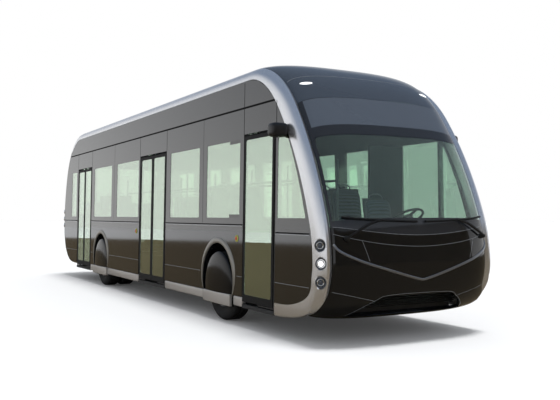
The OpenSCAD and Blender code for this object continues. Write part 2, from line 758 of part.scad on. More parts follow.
// Cover of radius r and bulge b: turned about the axle above it, drawn straight down to its foot below.
module spat(x, r, b) {
    rim = spat_half(r, b);
    translate([x, -half, 0])
        intersection() {
            union() {
                translate([0, 0, axle_z])
                    rotate([90, 0, 0])
                        rotate_extrude()
                            polygon(concat([[0, -spat_t], [r, -spat_t]], rim));
                translate([0, 0, spat_z])
                    mirror([0, 1, 0])
                        linear_extrude(axle_z - spat_z)
                            polygon(concat([[-r, -spat_t], [r, -spat_t]], rim,
                                [for (i = [len(rim)-2:-1:0]) [-rim[i][0], rim[i][1]]]));
            }
            box([-2*r, -2*b - spat_t, spat_z], [2*r, 2*spat_t, axle_z + 2*r]);
        }
}
module spat_right() color("#17191c")
    spat(axle_f, spat_r, spat_bulge);
module spat_left() color("#17191c")
    mirror([0, 1, 0])
        spat_right();
// The rear covers are fixed: a bracket at each foot reaches the end wall of the wheel box.
rear_spat_r = arch_r - 10;
module rear_spats() color("#17191c")
    both() {
        spat(axle_r, rear_spat_r, rear_bulge);
        for (d = [0, 1])
            translate([axle_r, 0, 0])
                mirror([d, 0, 0]) {
                    box([rear_spat_r - 26, -half + spat_t - 5, 300], [rear_spat_r, -half + wall + 65, 340]);
                    box([rear_spat_r - 26, -half + wall + 10, 300], [rear_box - seat_gap, -half + wall + 65, 340]);
                }
    }
// Camera pods on the front pillars: a rounded box on the wall, stepped in at its outer end.
pod_at = [front_jamb_f + 126, header_z - 138];
pod_size = [180, 170];
pod_r = 55;
pod_out = 205;
pod_step = 14;
module pod_face(g) {
    rounded(pod_at[0] + g, pod_at[0] + pod_size[0] - g, pod_at[1] + g, pod_at[1] + pod_size[1] - g, pod_r - g);
}
module camera_pods() color("#141619")
    both()
        on_right() {
            plate(-pod_out, pod_out - seat_gap)
                pod_face(0);
            plate(-pod_out - pod_step, 2*pod_step)
                pod_face(pod_step);
        }
// Depth at which a wiper's foot meets the flat facets of the front panel.
wiper_seat = 0.6;
// Profile angle at which the blades lie, and how far below it the arms' pivots are.
blade_a = 15.6;
lever_drop = 3.5;
// Wiper: blade along the foot of the screen, arm down to a pivot on the front panel.
module wiper() {
    blade = [for (i = [0:8]) 2 + 46*i/8];
    slab([for (w = [0, 0.6]) [for (p = blade) skin(front_at(blade_a + w), p, -34)]],
         [for (w = [0, 0.6]) [for (p = blade) skin(front_at(blade_a + w), p, -12)]]);
    lever = [for (i = [0:6]) 18 + 35*i/6];
    slab([for (w = [0, 0.7]) [for (p = lever) skin(front_at(blade_a - 0.3 + w - lever_drop*ease((p - 18)/35)), p, -46)]],
         [for (w = [0, 0.7]) [for (p = lever) skin(front_at(blade_a - 0.3 + w - lever_drop*ease((p - 18)/35)), p, -24)]]);
    hub = [51, 53.5];
    slab([for (w = [-2.6, -1.2]) [for (p = hub) skin(front_at(smile(p/hoop_angle) + w), p, -40)]],
         [for (w = [-2.6, -1.2]) [for (p = hub) skin(front_at(smile(p/hoop_angle) + w), p, wiper_seat)]]);
}
module wipers() color("#0d0e0f")
    both()
        wiper();

dash_x = nose_x - 880;
steer_c = [dash_x - 150, 620, 1440];
module on_column() {
    translate(steer_c)
        rotate([0, -steer_tilt, 0])
            children();
}
module dashboard() color("#24272b")
    difference() {
        union() {
            box([dash_x, -1000, 640], [dash_x + 480, 1000, 1290]);
            box([dash_x + 110, -760, floor_z + seat_gap], [dash_x + 170, 760, 700]);
            box([dash_x + 60, 330, 1200], [dash_x + 300, 910, 1400]);
        }
        on_column()
            translate([0, 0, -620])
                cylinder(r = 20 + run_fit, h = 620);
    }
module steering_wheel() color("#1a1c1f")
    on_column() {
        rotate_extrude()
            translate([steer_r - 16, 0])
                circle(16);
        for (a = [0, 120, 240])
            rotate([0, 0, a])
                translate([0, -18, -9])
                    cube([steer_r - 20, 36, 18]);
        translate([0, 0, -600])
            cylinder(r = 20, h = 600);
        translate([0, 0, -30])
            cylinder(r = 70, h = 42);
    }
cab_z = 600;
cab_x = front_jamb_f - 800;
module driver_cab() color("#2b2e33") {
    box([cab_x, 60, floor_z + seat_gap], [front_jamb_f - 40, 1170, cab_z]);
    box([front_jamb_f - 50, 60, cab_z - 60], [dash_x + 100, 1090, cab_z]);
    box([cab_x + 200, 580, cab_z - 1], [cab_x + 240, 1165, header_z - 78]);
}

cushion_t = 80;
cushion_l = 430;
back_t = 75;
// Seat bank of n seats facing forward: foot of the back at x, inner edge at y, floor at z.
module bank(x, y, z, n, w, h) {
    rake = back_h*tan(8);
    box([x + 110, y + 60, z + seat_gap], [x + 330, y + n*w - 60, z + h - cushion_t - seat_gap]);
    for (i = [0:n-1])
        plate(y + i*w + 8, w - 16)
            translate([x, z + h]) {
                polygon([[back_t + seat_gap, -cushion_t], [cushion_l - 10, -cushion_t], [cushion_l, 15 - cushion_t],
                    [cushion_l, -15], [cushion_l - 20, 0], [back_t + seat_gap, 0]]);
                polygon([[0, -cushion_t], [back_t, -cushion_t], [back_t, 0], [back_t - rake, back_h],
                    [20 - rake, back_h], [5 - rake, back_h - 20]]);
            }
}
// Ends of the wheel boxes, and the seat rows that find room between them and the middle door.
box_f = axle_f - front_box - box_t;
box_r = axle_r + rear_box + box_t;
left_rows = floor((box_f - box_r)/seat_pitch);
right_rows = max(0, floor((box_f - mid_jamb_f)/side_pitch));
rear_rows = max(0, floor((mid_jamb_r - box_r - 500)/side_pitch));
module seats() color("#3d4653") {
    for (x = concat([for (i = [1:left_rows]) box_f - seat_pitch*i + 120], [axle_r - 1120, axle_r - 1870]))
        bank(x, 330, floor_z, 2, seat_w, seat_z);
    for (x = concat([for (i = [0:1:right_rows-1]) mid_jamb_f + 230 + side_pitch*i],
            [for (i = [0:1:rear_rows-1]) box_r + 115 + side_pitch*i]))
        bank(x, -330 - 2*seat_w, floor_z, 2, seat_w, seat_z);
    for (s = [-1, 1])
        for (x = [axle_f - 520, axle_f + 80, axle_r - 420, axle_r + 60])
            bank(x, s*875 - 280, box_top, 1, 560, 140);
    bank(tail_x + 800, -2*seat_w, platform_z, 4, seat_w, 140);
    bank(cab_x + 370, 400, cab_z, 1, 460, 470);
}
module pole(x, y) {
    translate([x, y, floor_z + seat_gap])
        cylinder(r = pole_r, h = rail_z + 300 - floor_z);
}
module grab_poles() color("#4c4f53")
    for (s = [-1, 1]) {
        translate([axle_r - 1200, s*290, rail_z])
            rotate([0, 90, 0])
                cylinder(r = pole_r, h = axle_f + 700 - axle_r + 1200);
        for (x = [axle_r - 1200, axle_r + 620, mid_jamb_r - 60, mid_jamb_f + 120, axle_f - 700, axle_f + 690])
            pole(x, s*290);
    }

module front_leaf() color("#15171a")
    at_jamb(front_jamb_f, -1)
        leaf(front_reach);
module front_leaf_glass() color("#3a4a48")
    at_jamb(front_jamb_f, -1)
        leaf_glass(front_reach);
module front_arm() color("#2a2c30")
    at_jamb(front_jamb_f, -1)
        arm(front_reach);
module mid_leaf_a() color("#15171a")
    at_jamb(mid_jamb_r, 1)
        leaf(mid_reach);
module mid_leaf_a_glass() color("#3a4a48")
    at_jamb(mid_jamb_r, 1)
        leaf_glass(mid_reach);
module mid_arm_a() color("#2a2c30")
    at_jamb(mid_jamb_r, 1)
        arm(mid_reach);
module mid_leaf_b() color("#15171a")
    at_jamb(mid_jamb_f, -1)
        leaf(mid_reach);
module mid_leaf_b_glass() color("#3a4a48")
    at_jamb(mid_jamb_f, -1)
        leaf_glass(mid_reach);
module mid_arm_b() color("#2a2c30")
    at_jamb(mid_jamb_f, -1)
        arm(mid_reach);
module rear_leaf_a() color("#15171a")
    at_jamb(rear_jamb_r, 1)
        leaf(rear_reach);
module rear_leaf_a_glass() color("#3a4a48")
    at_jamb(rear_jamb_r, 1)
        leaf_glass(rear_reach);
module rear_arm_a() color("#2a2c30")
    at_jamb(rear_jamb_r, 1)
        arm(rear_reach);
module rear_leaf_b() color("#15171a")
    at_jamb(rear_jamb_f, -1)
        leaf(rear_reach);
module rear_leaf_b_glass() color("#3a4a48")
    at_jamb(rear_jamb_f, -1)
        leaf_glass(rear_reach);
module rear_arm_b() color("#2a2c30")
    at_jamb(rear_jamb_f, -1)
        arm(rear_reach);

// Steering knuckle of the right wheel: yoke round the axle eye, kingpin, spindle, tubes for the cover.
tube_x = spat_r - 12;
tube_z = spat_z + 15;
tube_y = 905;
module knuckle_right() color("#3a3d41")
    translate([axle_f, -kingpin_y, axle_z]) {
        translate([0, 0, -102])
            cylinder(r = kingpin_r, h = 204);
        for (z = [-102, 72]) {
            translate([0, 0, z])
                cylinder(r = 55, h = 30);
            box([-45, -90, z], [45, 0, z + 30]);
        }
        box([-45, -90, -102], [45, -62, 102]);
        translate([0, -70, 0])
            rotate([90, 0, 0])
                cylinder(r = spindle_r, h = 170);
        box([-20, kingpin_y - tube_y - 20, tube_z - axle_z], [20, kingpin_y - tube_y + 20, -80]);
        translate([-tube_x, kingpin_y - tube_y, tube_z - axle_z])
            rotate([0, 90, 0])
                cylinder(r = carrier_r, h = 2*tube_x);
        for (s = [-1, 1])
            translate([s*tube_x, kingpin_y - tube_y, tube_z - axle_z]) {
                sphere(carrier_r);
                rotate([90, 0, 0])
                    cylinder(r = carrier_r, h = half - spat_t - seat_gap - tube_y);
            }
    }
module knuckle_left() color("#3a3d41")
    mirror([0, 1, 0])
        knuckle_right();

module tyre() {
    h = tyre_w/2;
    i = rim_r + seat_gap;
    rotate([90, 0, 0])
        rotate_extrude()
            polygon([[i, 35 - h], [tyre_r - 150, 8 - h], [tyre_r - 90, -h], [tyre_r - 40, 8 - h], [tyre_r - 12, 26 - h],
                [tyre_r, 50 - h], [tyre_r, h - 50], [tyre_r - 12, h - 26], [tyre_r - 40, h - 8], [tyre_r - 90, h],
                [tyre_r - 150, h - 8], [i, h - 35]]);
}
// Rim about the wheel axis; y0 and y1 are its edges, disc its disc, hub its bore length.
module rim(y0, y1, disc) {
    rotate([90, 0, 0])
        difference() {
            union() {
                difference() {
                    translate([0, 0, y0])
                        cylinder(r = rim_r, h = y1 - y0);
                    translate([0, 0, y0 - 1])
                        cylinder(r = rim_r - 24, h = y1 - y0 + 2);
                }
                translate([0, 0, disc])
                    cylinder(r = rim_r - 10, h = 22);
                translate([0, 0, disc - 40])
                    cylinder(r = 90, h = 90);
            }
            translate([0, 0, disc - 100])
                cylinder(r = spindle_r + run_fit, h = 200);
        }
}
module tyre_front_right() color("#1c1d1f")
    translate([axle_f, -front_track, axle_z])
        tyre();
module tyre_front_left() color("#1c1d1f")
    mirror([0, 1, 0])
        tyre_front_right();
module tyre_rear_right() color("#1c1d1f")
    for (d = [0, twin_pitch])
        translate([axle_r, -rear_track + d, axle_z])
            tyre();
module tyre_rear_left() color("#1c1d1f")
    mirror([0, 1, 0])
        tyre_rear_right();
module rim_front_right() color("#8f9499")
    translate([axle_f, -front_track, axle_z])
        rim(-tyre_w/2 + 12, tyre_w/2 - 12, 62);
module rim_front_left() color("#8f9499")
    mirror([0, 1, 0])
        rim_front_right();
module rim_rear_right() color("#8f9499")
    translate([axle_r, -rear_track, axle_z])
        rim(-tyre_w/2 - twin_pitch + 12, tyre_w/2 - 12, -60);
module rim_rear_left() color("#8f9499")
    mirror([0, 1, 0])
        rim_rear_right();

chassis_frame();
floor();
front_axle();
rear_axle();
traction_motor();
battery_pack();
right_side();
left_side();
cove_panels();
roof();
nose_cap();
windscreen();
front_panel();
front_bumper();
rear_window();
rear_panel();
frame_hoops();
side_glass();
headlamps();
tail_lamps();
sill_skirts();
spat_right();
spat_left();
rear_spats();
camera_pods();
wipers();
dashboard();
steering_wheel();
driver_cab();
seats();
grab_poles();
front_leaf();
front_leaf_glass();
front_arm();
mid_leaf_a();
mid_leaf_a_glass();
mid_arm_a();
mid_leaf_b();
mid_leaf_b_glass();
mid_arm_b();
rear_leaf_a();
rear_leaf_a_glass();
rear_arm_a();
rear_leaf_b();
rear_leaf_b_glass();
rear_arm_b();
knuckle_right();
knuckle_left();
tyre_front_right();
tyre_front_left();
tyre_rear_right();
tyre_rear_left();
rim_front_right();
rim_front_left();
rim_rear_right();
rim_rear_left();
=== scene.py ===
import bmesh
import bpy
import numpy as np
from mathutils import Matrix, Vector


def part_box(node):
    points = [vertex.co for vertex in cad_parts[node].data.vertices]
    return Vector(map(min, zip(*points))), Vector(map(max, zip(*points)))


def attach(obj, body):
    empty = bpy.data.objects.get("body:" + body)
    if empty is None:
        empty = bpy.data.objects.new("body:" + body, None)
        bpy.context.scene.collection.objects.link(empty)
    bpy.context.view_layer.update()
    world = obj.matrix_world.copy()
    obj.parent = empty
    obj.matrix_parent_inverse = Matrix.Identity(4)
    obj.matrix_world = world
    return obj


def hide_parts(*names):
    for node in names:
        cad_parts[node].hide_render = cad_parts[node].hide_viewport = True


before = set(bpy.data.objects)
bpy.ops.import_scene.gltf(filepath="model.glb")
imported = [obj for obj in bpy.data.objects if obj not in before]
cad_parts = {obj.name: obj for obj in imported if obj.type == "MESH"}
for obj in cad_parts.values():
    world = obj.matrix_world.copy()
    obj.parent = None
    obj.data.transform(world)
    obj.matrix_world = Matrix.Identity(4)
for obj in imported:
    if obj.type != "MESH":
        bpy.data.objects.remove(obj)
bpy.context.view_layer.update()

# Studio
# A pale floor under a plain white sky, one soft lamp overhead, and the camera where the photograph was taken
# from: ahead of the bus and to its right, at eye height. Dark cloth lies on the floor and hangs in front, and only
# gloss shows it; its strip beside the doors shows in the panes' inner faces too.
scene = bpy.context.scene
scene.view_settings.view_transform = "Standard"
eye = Vector((12.430, -5.547, 1.474))
yaw, pitch = np.radians([29.861, 1.1785])
focal_px, image_px, sensor_mm = 720.7, 560, 36.0


def hex_linear(code):
    """Linear RGBA of an sRGB hex colour: c/12.92 up to 0.04045, ((c + 0.055)/1.055)^2.4 above that."""
    c = np.array([int(code[i:i + 2], 16) for i in (1, 3, 5)])/255
    return (*np.where(c <= 0.04045, c/12.92, ((c + 0.055)/1.055)**2.4).tolist(), 1.0)


def add_node(tree, kind, sockets, **settings):
    """Adds one shader node: settings are its properties, sockets its inputs (values or other nodes' outputs)."""
    made = tree.nodes.new(kind)
    for name, value in settings.items():
        setattr(made, name, value)
    for name, value in sockets.items():
        if isinstance(value, bpy.types.NodeSocket):
            tree.links.new(value, made.inputs[name])
        else:
            made.inputs[name].default_value = value
    return made


def new_tree(name):
    """New material with an empty node tree; returns both."""
    made = bpy.data.materials.new(name)
    made.use_nodes = True
    made.node_tree.nodes.clear()
    return made, made.node_tree


def blend(tree, share, colour, other):
    """Two sRGB hex colours mixed by another node's share; returns the mixed colour's socket."""
    sockets = {0: share, 6: hex_linear(colour), 7: hex_linear(other)}
    return add_node(tree, "ShaderNodeMix", sockets, data_type="RGBA").outputs[2]


def surface(tree, kind, sockets):
    """Adds a shader and makes it the material's surface."""
    shader = add_node(tree, kind, sockets)
    add_node(tree, "ShaderNodeOutputMaterial", {"Surface": shader.outputs[0]})


def grid(points, wrap=False):
    """Vertices and quads of a surface given as rows x columns of points; wrap joins its last column and first."""
    rows, cols = points.shape[:2]
    at = np.arange(rows*cols).reshape(rows, cols)
    if wrap:
        at = np.hstack([at, at[:, :1]])
    quads = np.stack([at[:-1, :-1], at[1:, :-1], at[1:, 1:], at[:-1, 1:]], -1)
    return points.reshape(-1, 3), quads.reshape(-1, 4)


def shape(name, parts, material, closed=True):
    """New object at the origin from (vertices, quads) parts: welded, faced outward, smooth up to 35 degrees."""
    starts = np.cumsum([0] + [len(p[0]) for p in parts])
    mesh = bpy.data.meshes.new(name)
    mesh.from_pydata(np.concatenate([p[0] for p in parts]).tolist(), [],
                     np.concatenate([p[1] + s for p, s in zip(parts, starts)]).tolist())
    work = bmesh.new()
    work.from_mesh(mesh)
    bmesh.ops.remove_doubles(work, verts=work.verts, dist=1e-6)
    bmesh.ops.dissolve_degenerate(work, edges=work.edges, dist=1e-7)
    if closed:
        bmesh.ops.recalc_face_normals(work, faces=work.faces)
    work.to_mesh(mesh)
    work.free()
    mesh.polygons.foreach_set("use_smooth", np.ones(len(mesh.polygons), bool))
    mesh.set_sharp_from_angle(angle=np.radians(35))
    mesh.materials.append(material)
    made = bpy.data.objects.new(name, mesh)
    scene.collection.objects.link(made)
    return made


def piece(name, parts, material, body="body", stands_for=()):
    """A shape that rides on a body, takes a slot's finish and stands for CAD nodes."""
    made = shape(name, parts, material)
    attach(made, body)
    if stands_for:
        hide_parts(*stands_for)
    return made


# Matt emulsion: near white, with a little light of its own toward the camera so that the shadow stays pale.
floor_paint, tree = new_tree("pale_studio_paint")
speck = add_node(tree, "ShaderNodeTexNoise", {"Scale": 3.0})
tint = blend(tree, speck.outputs["Fac"], "#f8f8f8", "#fbfbfb")
wash = add_node(tree, "ShaderNodeBsdfDiffuse", {"Color": tint})
ray = add_node(tree, "ShaderNodeLightPath", {})
glow = add_node(tree, "ShaderNodeMath", {0: ray.outputs["Is Camera Ray"], 1: 0.035}, operation="MULTIPLY")
lift = add_node(tree, "ShaderNodeEmission", {"Color": hex_linear("#ffffff"), "Strength": glow.outputs[0]})
surface(tree, "ShaderNodeAddShader", {0: wash.outputs[0], 1: lift.outputs[0]})
floor_reach = 150.0
ring, turn = np.meshgrid(np.linspace(0, 1, 24)**2*floor_reach, np.radians(np.arange(0, 360, 5)), indexing="ij")
studio_floor = shape("studio_floor", [grid(np.stack([ring*np.cos(turn), ring*np.sin(turn), 0*ring], -1), True)],
                     floor_paint, closed=False)

sky = bpy.data.worlds.new("studio_sky")
scene.world = sky
sky.use_nodes = True
tree = sky.node_tree
tree.nodes.clear()
ray = add_node(tree, "ShaderNodeLightPath", {})
way = add_node(tree, "ShaderNodeTexCoord", {})
height = add_node(tree, "ShaderNodeSeparateXYZ", {"Vector": way.outputs["Generated"]})
grade = add_node(tree, "ShaderNodeValToRGB", {"Fac": height.outputs["Z"]})
stops = grade.color_ramp.elements
stops[0].position, stops[0].color = 0.06, hex_linear("#ffffff")
stops[1].position, stops[1].color = 0.55, hex_linear("#76869d")
seen = add_node(tree, "ShaderNodeMath",
                {0: ray.outputs["Is Camera Ray"], 1: ray.outputs["Is Transmission Ray"]}, operation="MAXIMUM")
light = add_node(tree, "ShaderNodeBackground", {"Color": hex_linear("#f1f4f9"), "Strength": 0.6})
mirror = add_node(tree, "ShaderNodeBackground", {"Color": grade.outputs[0], "Strength": 1.0})
white = add_node(tree, "ShaderNodeBackground", {"Color": (1, 1, 1, 1), "Strength": 1.0})
lit = add_node(tree, "ShaderNodeMixShader",
               {0: ray.outputs["Is Glossy Ray"], 1: light.outputs[0], 2: mirror.outputs[0]})
both = add_node(tree, "ShaderNodeMixShader", {0: seen.outputs[0], 1: lit.outputs[0], 2: white.outputs[0]})
add_node(tree, "ShaderNodeOutputWorld", {"Surface": both.outputs[0]})

lamp = bpy.data.objects.new("overhead_lamp", bpy.data.lights.new("overhead_lamp", "SUN"))
lamp.data.energy = 1.9
lamp.data.angle = np.radians(16)
lamp.rotation_euler = np.radians([-4, 7, 0])
lamp.visible_glossy = False
scene.collection.objects.link(lamp)

# Brushed felt: dull earth brown, as the ground looks in the bus's gloss.
cloth, tree = new_tree("dark_studio_cloth")
place = add_node(tree, "ShaderNodeTexCoord", {})
weave = add_node(tree, "ShaderNodeTexNoise", {"Vector": place.outputs["Object"], "Scale": 2.0})
tint = blend(tree, weave.outputs["Fac"], "#6d6250", "#776b58")
surface(tree, "ShaderNodeBsdfDiffuse", {"Color": tint})
cloth_lift, cloth_reach = 0.002, 46.0
ring, turn = np.meshgrid(np.linspace(0, 1, 16)**2*cloth_reach, np.radians(np.arange(0, 360, 5)), indexing="ij")
spread = np.stack([ring*np.cos(turn), ring*np.sin(turn), cloth_lift + 0*ring], -1)
ground_cloth = shape("ground_cloth", [grid(spread, True)], cloth, closed=False)
curtain_far, curtain_tall = 26.0, 9.0
bend, rise = np.meshgrid(np.radians(np.linspace(-45, 50, 30)), np.linspace(0, curtain_tall, 8), indexing="ij")
hang = np.stack([curtain_far*np.cos(bend), curtain_far*np.sin(bend), rise], -1)
curtain = shape("front_curtain", [grid(hang)], cloth, closed=False)
# The strip starts along the doors and runs back and out, as the view is mirrored there, to the cloth's rim.
door_line_x, door_line_y, strip_turn = (4.9, -6.0), -1.6, (212, 202)
share = np.linspace(0, 1, 12)
start = np.stack([door_line_x[0] + (door_line_x[1] - door_line_x[0])*share, door_line_y + 0*share], 1)
heading = np.radians(strip_turn[0] + (strip_turn[1] - strip_turn[0])*share)
heading = np.stack([np.cos(heading), np.sin(heading)], 1)
ahead = (start*heading).sum(1)
reach = -ahead + np.sqrt(ahead**2 - (start**2).sum(1) + cloth_reach**2)
lay = start + np.linspace(0, 1, 20)[:, None, None]**2*reach[:, None]*heading
lay = np.concatenate([lay, np.full(lay.shape[:2] + (1,), 2*cloth_lift)], 2)
door_cloth = shape("door_cloth", [grid(lay)], cloth, closed=False)
for flag in (ground_cloth, curtain, door_cloth):
    flag.visible_camera = flag.visible_diffuse = flag.visible_shadow = False
    flag.visible_transmission = flag is door_cloth

camera = bpy.data.objects.new("camera", bpy.data.cameras.new("camera"))
camera.data.sensor_width = sensor_mm
camera.data.lens = focal_px*sensor_mm/image_px
camera.data.clip_end = 500
camera.location = eye
look = Vector((-np.cos(yaw)*np.cos(pitch), np.sin(yaw)*np.cos(pitch), np.sin(pitch)))
camera.rotation_euler = look.to_track_quat("-Z", "Y").to_euler()
scene.collection.objects.link(camera)
scene.camera = camera

# Running gear
# Welded box-section frame, portal axles and forged knuckles in black electrocoat, with the motor's cast
# aluminium housing and the battery's folded steel case at the rear. All are bolted under the floor.


def finish(name, colour, other, spot_mm, roughness, bump_mm, **constants):
    """Finish with a grain: noise with spots of spot_mm mixes two colours, spreads the roughness between two
    values and lifts the surface by up to bump_mm. The constants are the shader's own sockets, _ for a space."""
    made, tree = new_tree(name)
    place = add_node(tree, "ShaderNodeTexCoord", {})
    noise = add_node(tree, "ShaderNodeTexNoise",
                     {"Vector": place.outputs["Object"], "Scale": 1000/spot_mm, "Detail": 3.0})
    tint = blend(tree, noise.outputs["Fac"], colour, other)
    sheen = add_node(tree, "ShaderNodeMapRange", {0: noise.outputs["Fac"], 3: roughness[0], 4: roughness[1]})
    bump = add_node(tree, "ShaderNodeBump", {"Height": noise.outputs["Fac"], "Distance": bump_mm/1000})
    sockets = {key.replace("_", " "): value for key, value in constants.items()}
    surface(tree, "ShaderNodeBsdfPrincipled",
            {"Base Color": tint, "Roughness": sheen.outputs[0], "Normal": bump.outputs[0], **sockets})
    return made


def dress(material, *names):
    """Gives CAD nodes a material in place of the one they came with."""
    for name in names:
        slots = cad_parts[name].data.materials
        slots.clear()
        slots.append(material)


# Dip-coated steel: near black and dull, with a faint orange peel.
electrocoat = finish("black_electrocoat", "#1a1b1d", "#27282a", 9, (0.38, 0.6), 0.12)
# Sand-cast metal: pale grey with a broken, soft shine.
cast_aluminium = finish("cast_aluminium", "#8b8e90", "#a3a6a8", 4, (0.42, 0.62), 0.15, Metallic=0.9)
# Sprayed steel sheet: even mid grey, half gloss.
case_paint = finish("grey_case_paint", "#5d6266", "#6a6f73", 6, (0.35, 0.5), 0.05)
dress(electrocoat, "chassis_frame", "front_axle", "rear_axle", "knuckle_right", "knuckle_left")
dress(cast_aluminium, "traction_motor")
dress(case_paint, "battery_pack")

# Wheels
# Low-section road tyres on painted steel rims: ribbed tread with grooves and shoulder blocks moulded in,
# ten wheel nuts on each disc. Twin tyres share one rim at the rear.
tyre_r, tyre_half, bead_r = 0.480, 0.1375, 0.2863
groove_w, groove_deep, block_deep, blocks = 0.010, 0.011, 0.006, 72
# Carbon-black rubber: matt, slightly dusty.
tyre_rubber = finish("tread_rubber", "#131415", "#202123", 5, (0.72, 0.9), 0.1)
# Stove enamel with metal flake: soft silver grey.
wheel_steel = finish("silver_wheel_enamel", "#80858a", "#8b9095", 12, (0.32, 0.42), 0.03, Metallic=0.55)


def tyre(centre):
    """Tyre about +Y: a closed section of bead, side wall, shoulder and tread turned round the axle. The tread's
    radius drops in four grooves, and outside the outer pair it drops between the shoulder blocks."""
    wall = np.array([[0, -.1025], [.06, -.128], [.104, -.1375], [.154, -.1295], [.1817, -.1115]])
    r_side, w_side = bead_r + wall[:, 0], wall[:, 1]
    middles = np.array([-.066, -.022, .022, .066])
    cuts = (middles[:, None] + groove_w*np.array([-.5, -.4, .4, .5])).ravel()
    drop = np.tile([0, groove_deep, groove_deep, 0], 4)
    w = np.concatenate([w_side, [-.0875, -.080], cuts, [.080, .0875], -w_side[::-1], [.06, -.06]])
    flat = [tyre_r, tyre_r]
    r = np.concatenate([r_side, flat, tyre_r - drop, flat, r_side[::-1], [bead_r, bead_r]])
    edge = (np.abs(w) > 0.078) & (r > bead_r + 0.15)
    a = np.arange(blocks*4)*2*np.pi/(blocks*4)
    sunk = (np.arange(blocks*4) % 4 == 3)[:, None]*edge[None, :]*block_deep
    rr = r[None, :] - sunk
    points = np.stack([rr*np.cos(a)[:, None], np.broadcast_to(w, rr.shape), rr*np.sin(a)[:, None]], -1)
    points = np.concatenate([points, points[:1]])
    return grid(points + np.asarray(centre), wrap=True)


def lathe(profile, centre, axis, turns=48):
    """Surface turned about an axis through centre: the profile lists radius and height along the axis."""
    axis = np.asarray(axis, float)/np.linalg.norm(axis)
    side = np.cross(axis, [0, 0, 1] if abs(axis[2]) < 0.9 else [1, 0, 0])
    side /= np.linalg.norm(side)
    up = np.cross(axis, side)
    r, h = np.asarray(profile, float).T
    a = np.arange(turns)*2*np.pi/turns
    round_ = np.cos(a)[:, None]*side + np.sin(a)[:, None]*up
    return grid(np.asarray(centre) + h[:, None, None]*axis + r[:, None, None]*round_, wrap=True)


nut_ring, nut_count, disc_y = 0.160, 10, {"front": 1.156, "rear": 1.040}
# Zinc-plated steel: pale bright metal, blurred highlights.
nut_steel = finish("zinc_nut_steel", "#9a9da0", "#b3b6b9", 3, (0.3, 0.45), 0.03, Metallic=1.0)
for axle in ("front", "rear"):
    for side in ("right", "left"):
        low, high = map(np.array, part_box(f"tyre_{axle}_{side}"))
        out = -1 if side == "right" else 1
        mid = (low + high)/2
        tyre_y = [low[1] + tyre_half, high[1] - tyre_half][::out]
        if axle == "front":
            tyre_y = tyre_y[:1]
        body = f"wheel_{axle}_{side}"
        piece(f"tyre_{axle}_{side}_tread", [tyre([mid[0], y, mid[2]]) for y in tyre_y], tyre_rubber, body,
              [f"tyre_{axle}_{side}"])
        dress(wheel_steel, f"rim_{axle}_{side}")
        spin = np.arange(nut_count)*2*np.pi/nut_count
        nut = np.array([[0, .034], [.012, .033], [.015, .022], [.015, 0]])
        studs = np.stack([nut_ring*np.cos(spin), 0*spin, nut_ring*np.sin(spin)], 1)
        studs = studs + [mid[0], disc_y[axle]*out, mid[2]]
        piece(f"wheel_nuts_{axle}_{side}", [lathe(nut, stud, [0, out, 0], 6) for stud in studs], nut_steel,
              body)

# Floor
# Bonded plywood with a slip-resistant vinyl sheet, speckled, and folded steel wheel boxes covered with the same.
# It is screwed to the chassis frame.
# Vinyl with 7 mm grey flecks: dark, slightly rough.
vinyl, tree = new_tree("speckled_vinyl")
place = add_node(tree, "ShaderNodeTexCoord", {})
fleck = add_node(tree, "ShaderNodeTexVoronoi", {"Vector": place.outputs["Object"], "Scale": 1000/7})
share = add_node(tree, "ShaderNodeMapRange", {0: fleck.outputs["Distance"], 1: 0.15, 2: 0.35})
tint = blend(tree, share.outputs[0], "#44484d", "#1f2124")
bump = add_node(tree, "ShaderNodeBump", {"Height": fleck.outputs["Distance"], "Distance": 0.0003})
surface(tree, "ShaderNodeBsdfPrincipled", {"Base Color": tint, "Roughness": 0.6, "Normal": bump.outputs[0]})
dress(vinyl, "floor")

# Side walls and cove panels
# Bonded sandwich panels sprayed gloss black under a clear lacquer, their joints closed with thin rubber, a bright
# waist moulding clipped on, and a drip rail along the top of the doors.
half, sill_z, lean = 1.275, 0.400, np.radians(0.95)
drip_z, header_z, waist_z, cab_waist_z, low_seam_z, cove_top = 2.880, 2.529, 1.325, 1.242, 0.660, 3.210
jambs = {"rear": (-4.546, -3.360), "mid": (-0.164, 1.170), "front": (3.980, 4.844)}
# Polished lacquer: deep black that mirrors what is round it.
black_paint = finish("black_gloss_lacquer", "#0a0b0c", "#0f1011", 5, (0.05, 0.09), 0.004)
# Extruded rubber: flat black that takes light away from the joints.
rubber = finish("black_seal_rubber", "#0b0c0d", "#131415", 3, (0.7, 0.85), 0.05, Specular_IOR_Level=0.12)
# Anodised aluminium: bright metal with a satin sheen.
bright_trim = finish("satin_bright_trim", "#b9bcc0", "#c9ccd0", 2, (0.22, 0.3), 0.01, Metallic=1.0)
# Painted highlight: a grey, half-metal strip along a joint stands for light caught on the panel edge.
edge_highlight_grey = finish("painted_edge_highlight", "#7d8084", "#8c9094", 3, (0.35, 0.45), 0.02, Metallic=0.5)
# The same lacquer with a harder clear coat, as the walls mirror the sky more strongly.
side_lacquer = finish("black_side_lacquer", "#0a0b0c", "#0f1011", 5, (0.04, 0.08), 0.004, IOR=1.9)
dress(side_lacquer, "right_side", "left_side", "cove_panels")


def on_wall(side):
    """Place on a wall: (x, z up the wall, distance out) to space, the wall leaning in about its sill."""
    def place(x, z, out):
        y = half + out*np.cos(lean) - (z - sill_z)*np.sin(lean)
        return np.stack([x, side*y, sill_z + (z - sill_z)*np.cos(lean) + out*np.sin(lean)], -1)
    return place


def tube(sections):
    """Closed sections joined along their rows, each end closed at the middle of its section."""
    ends = np.broadcast_to(sections[[0, -1]].mean(1, keepdims=True), sections[[0, -1]].shape)
    return grid(np.concatenate([ends[:1], sections, ends[1:]]), wrap=True)


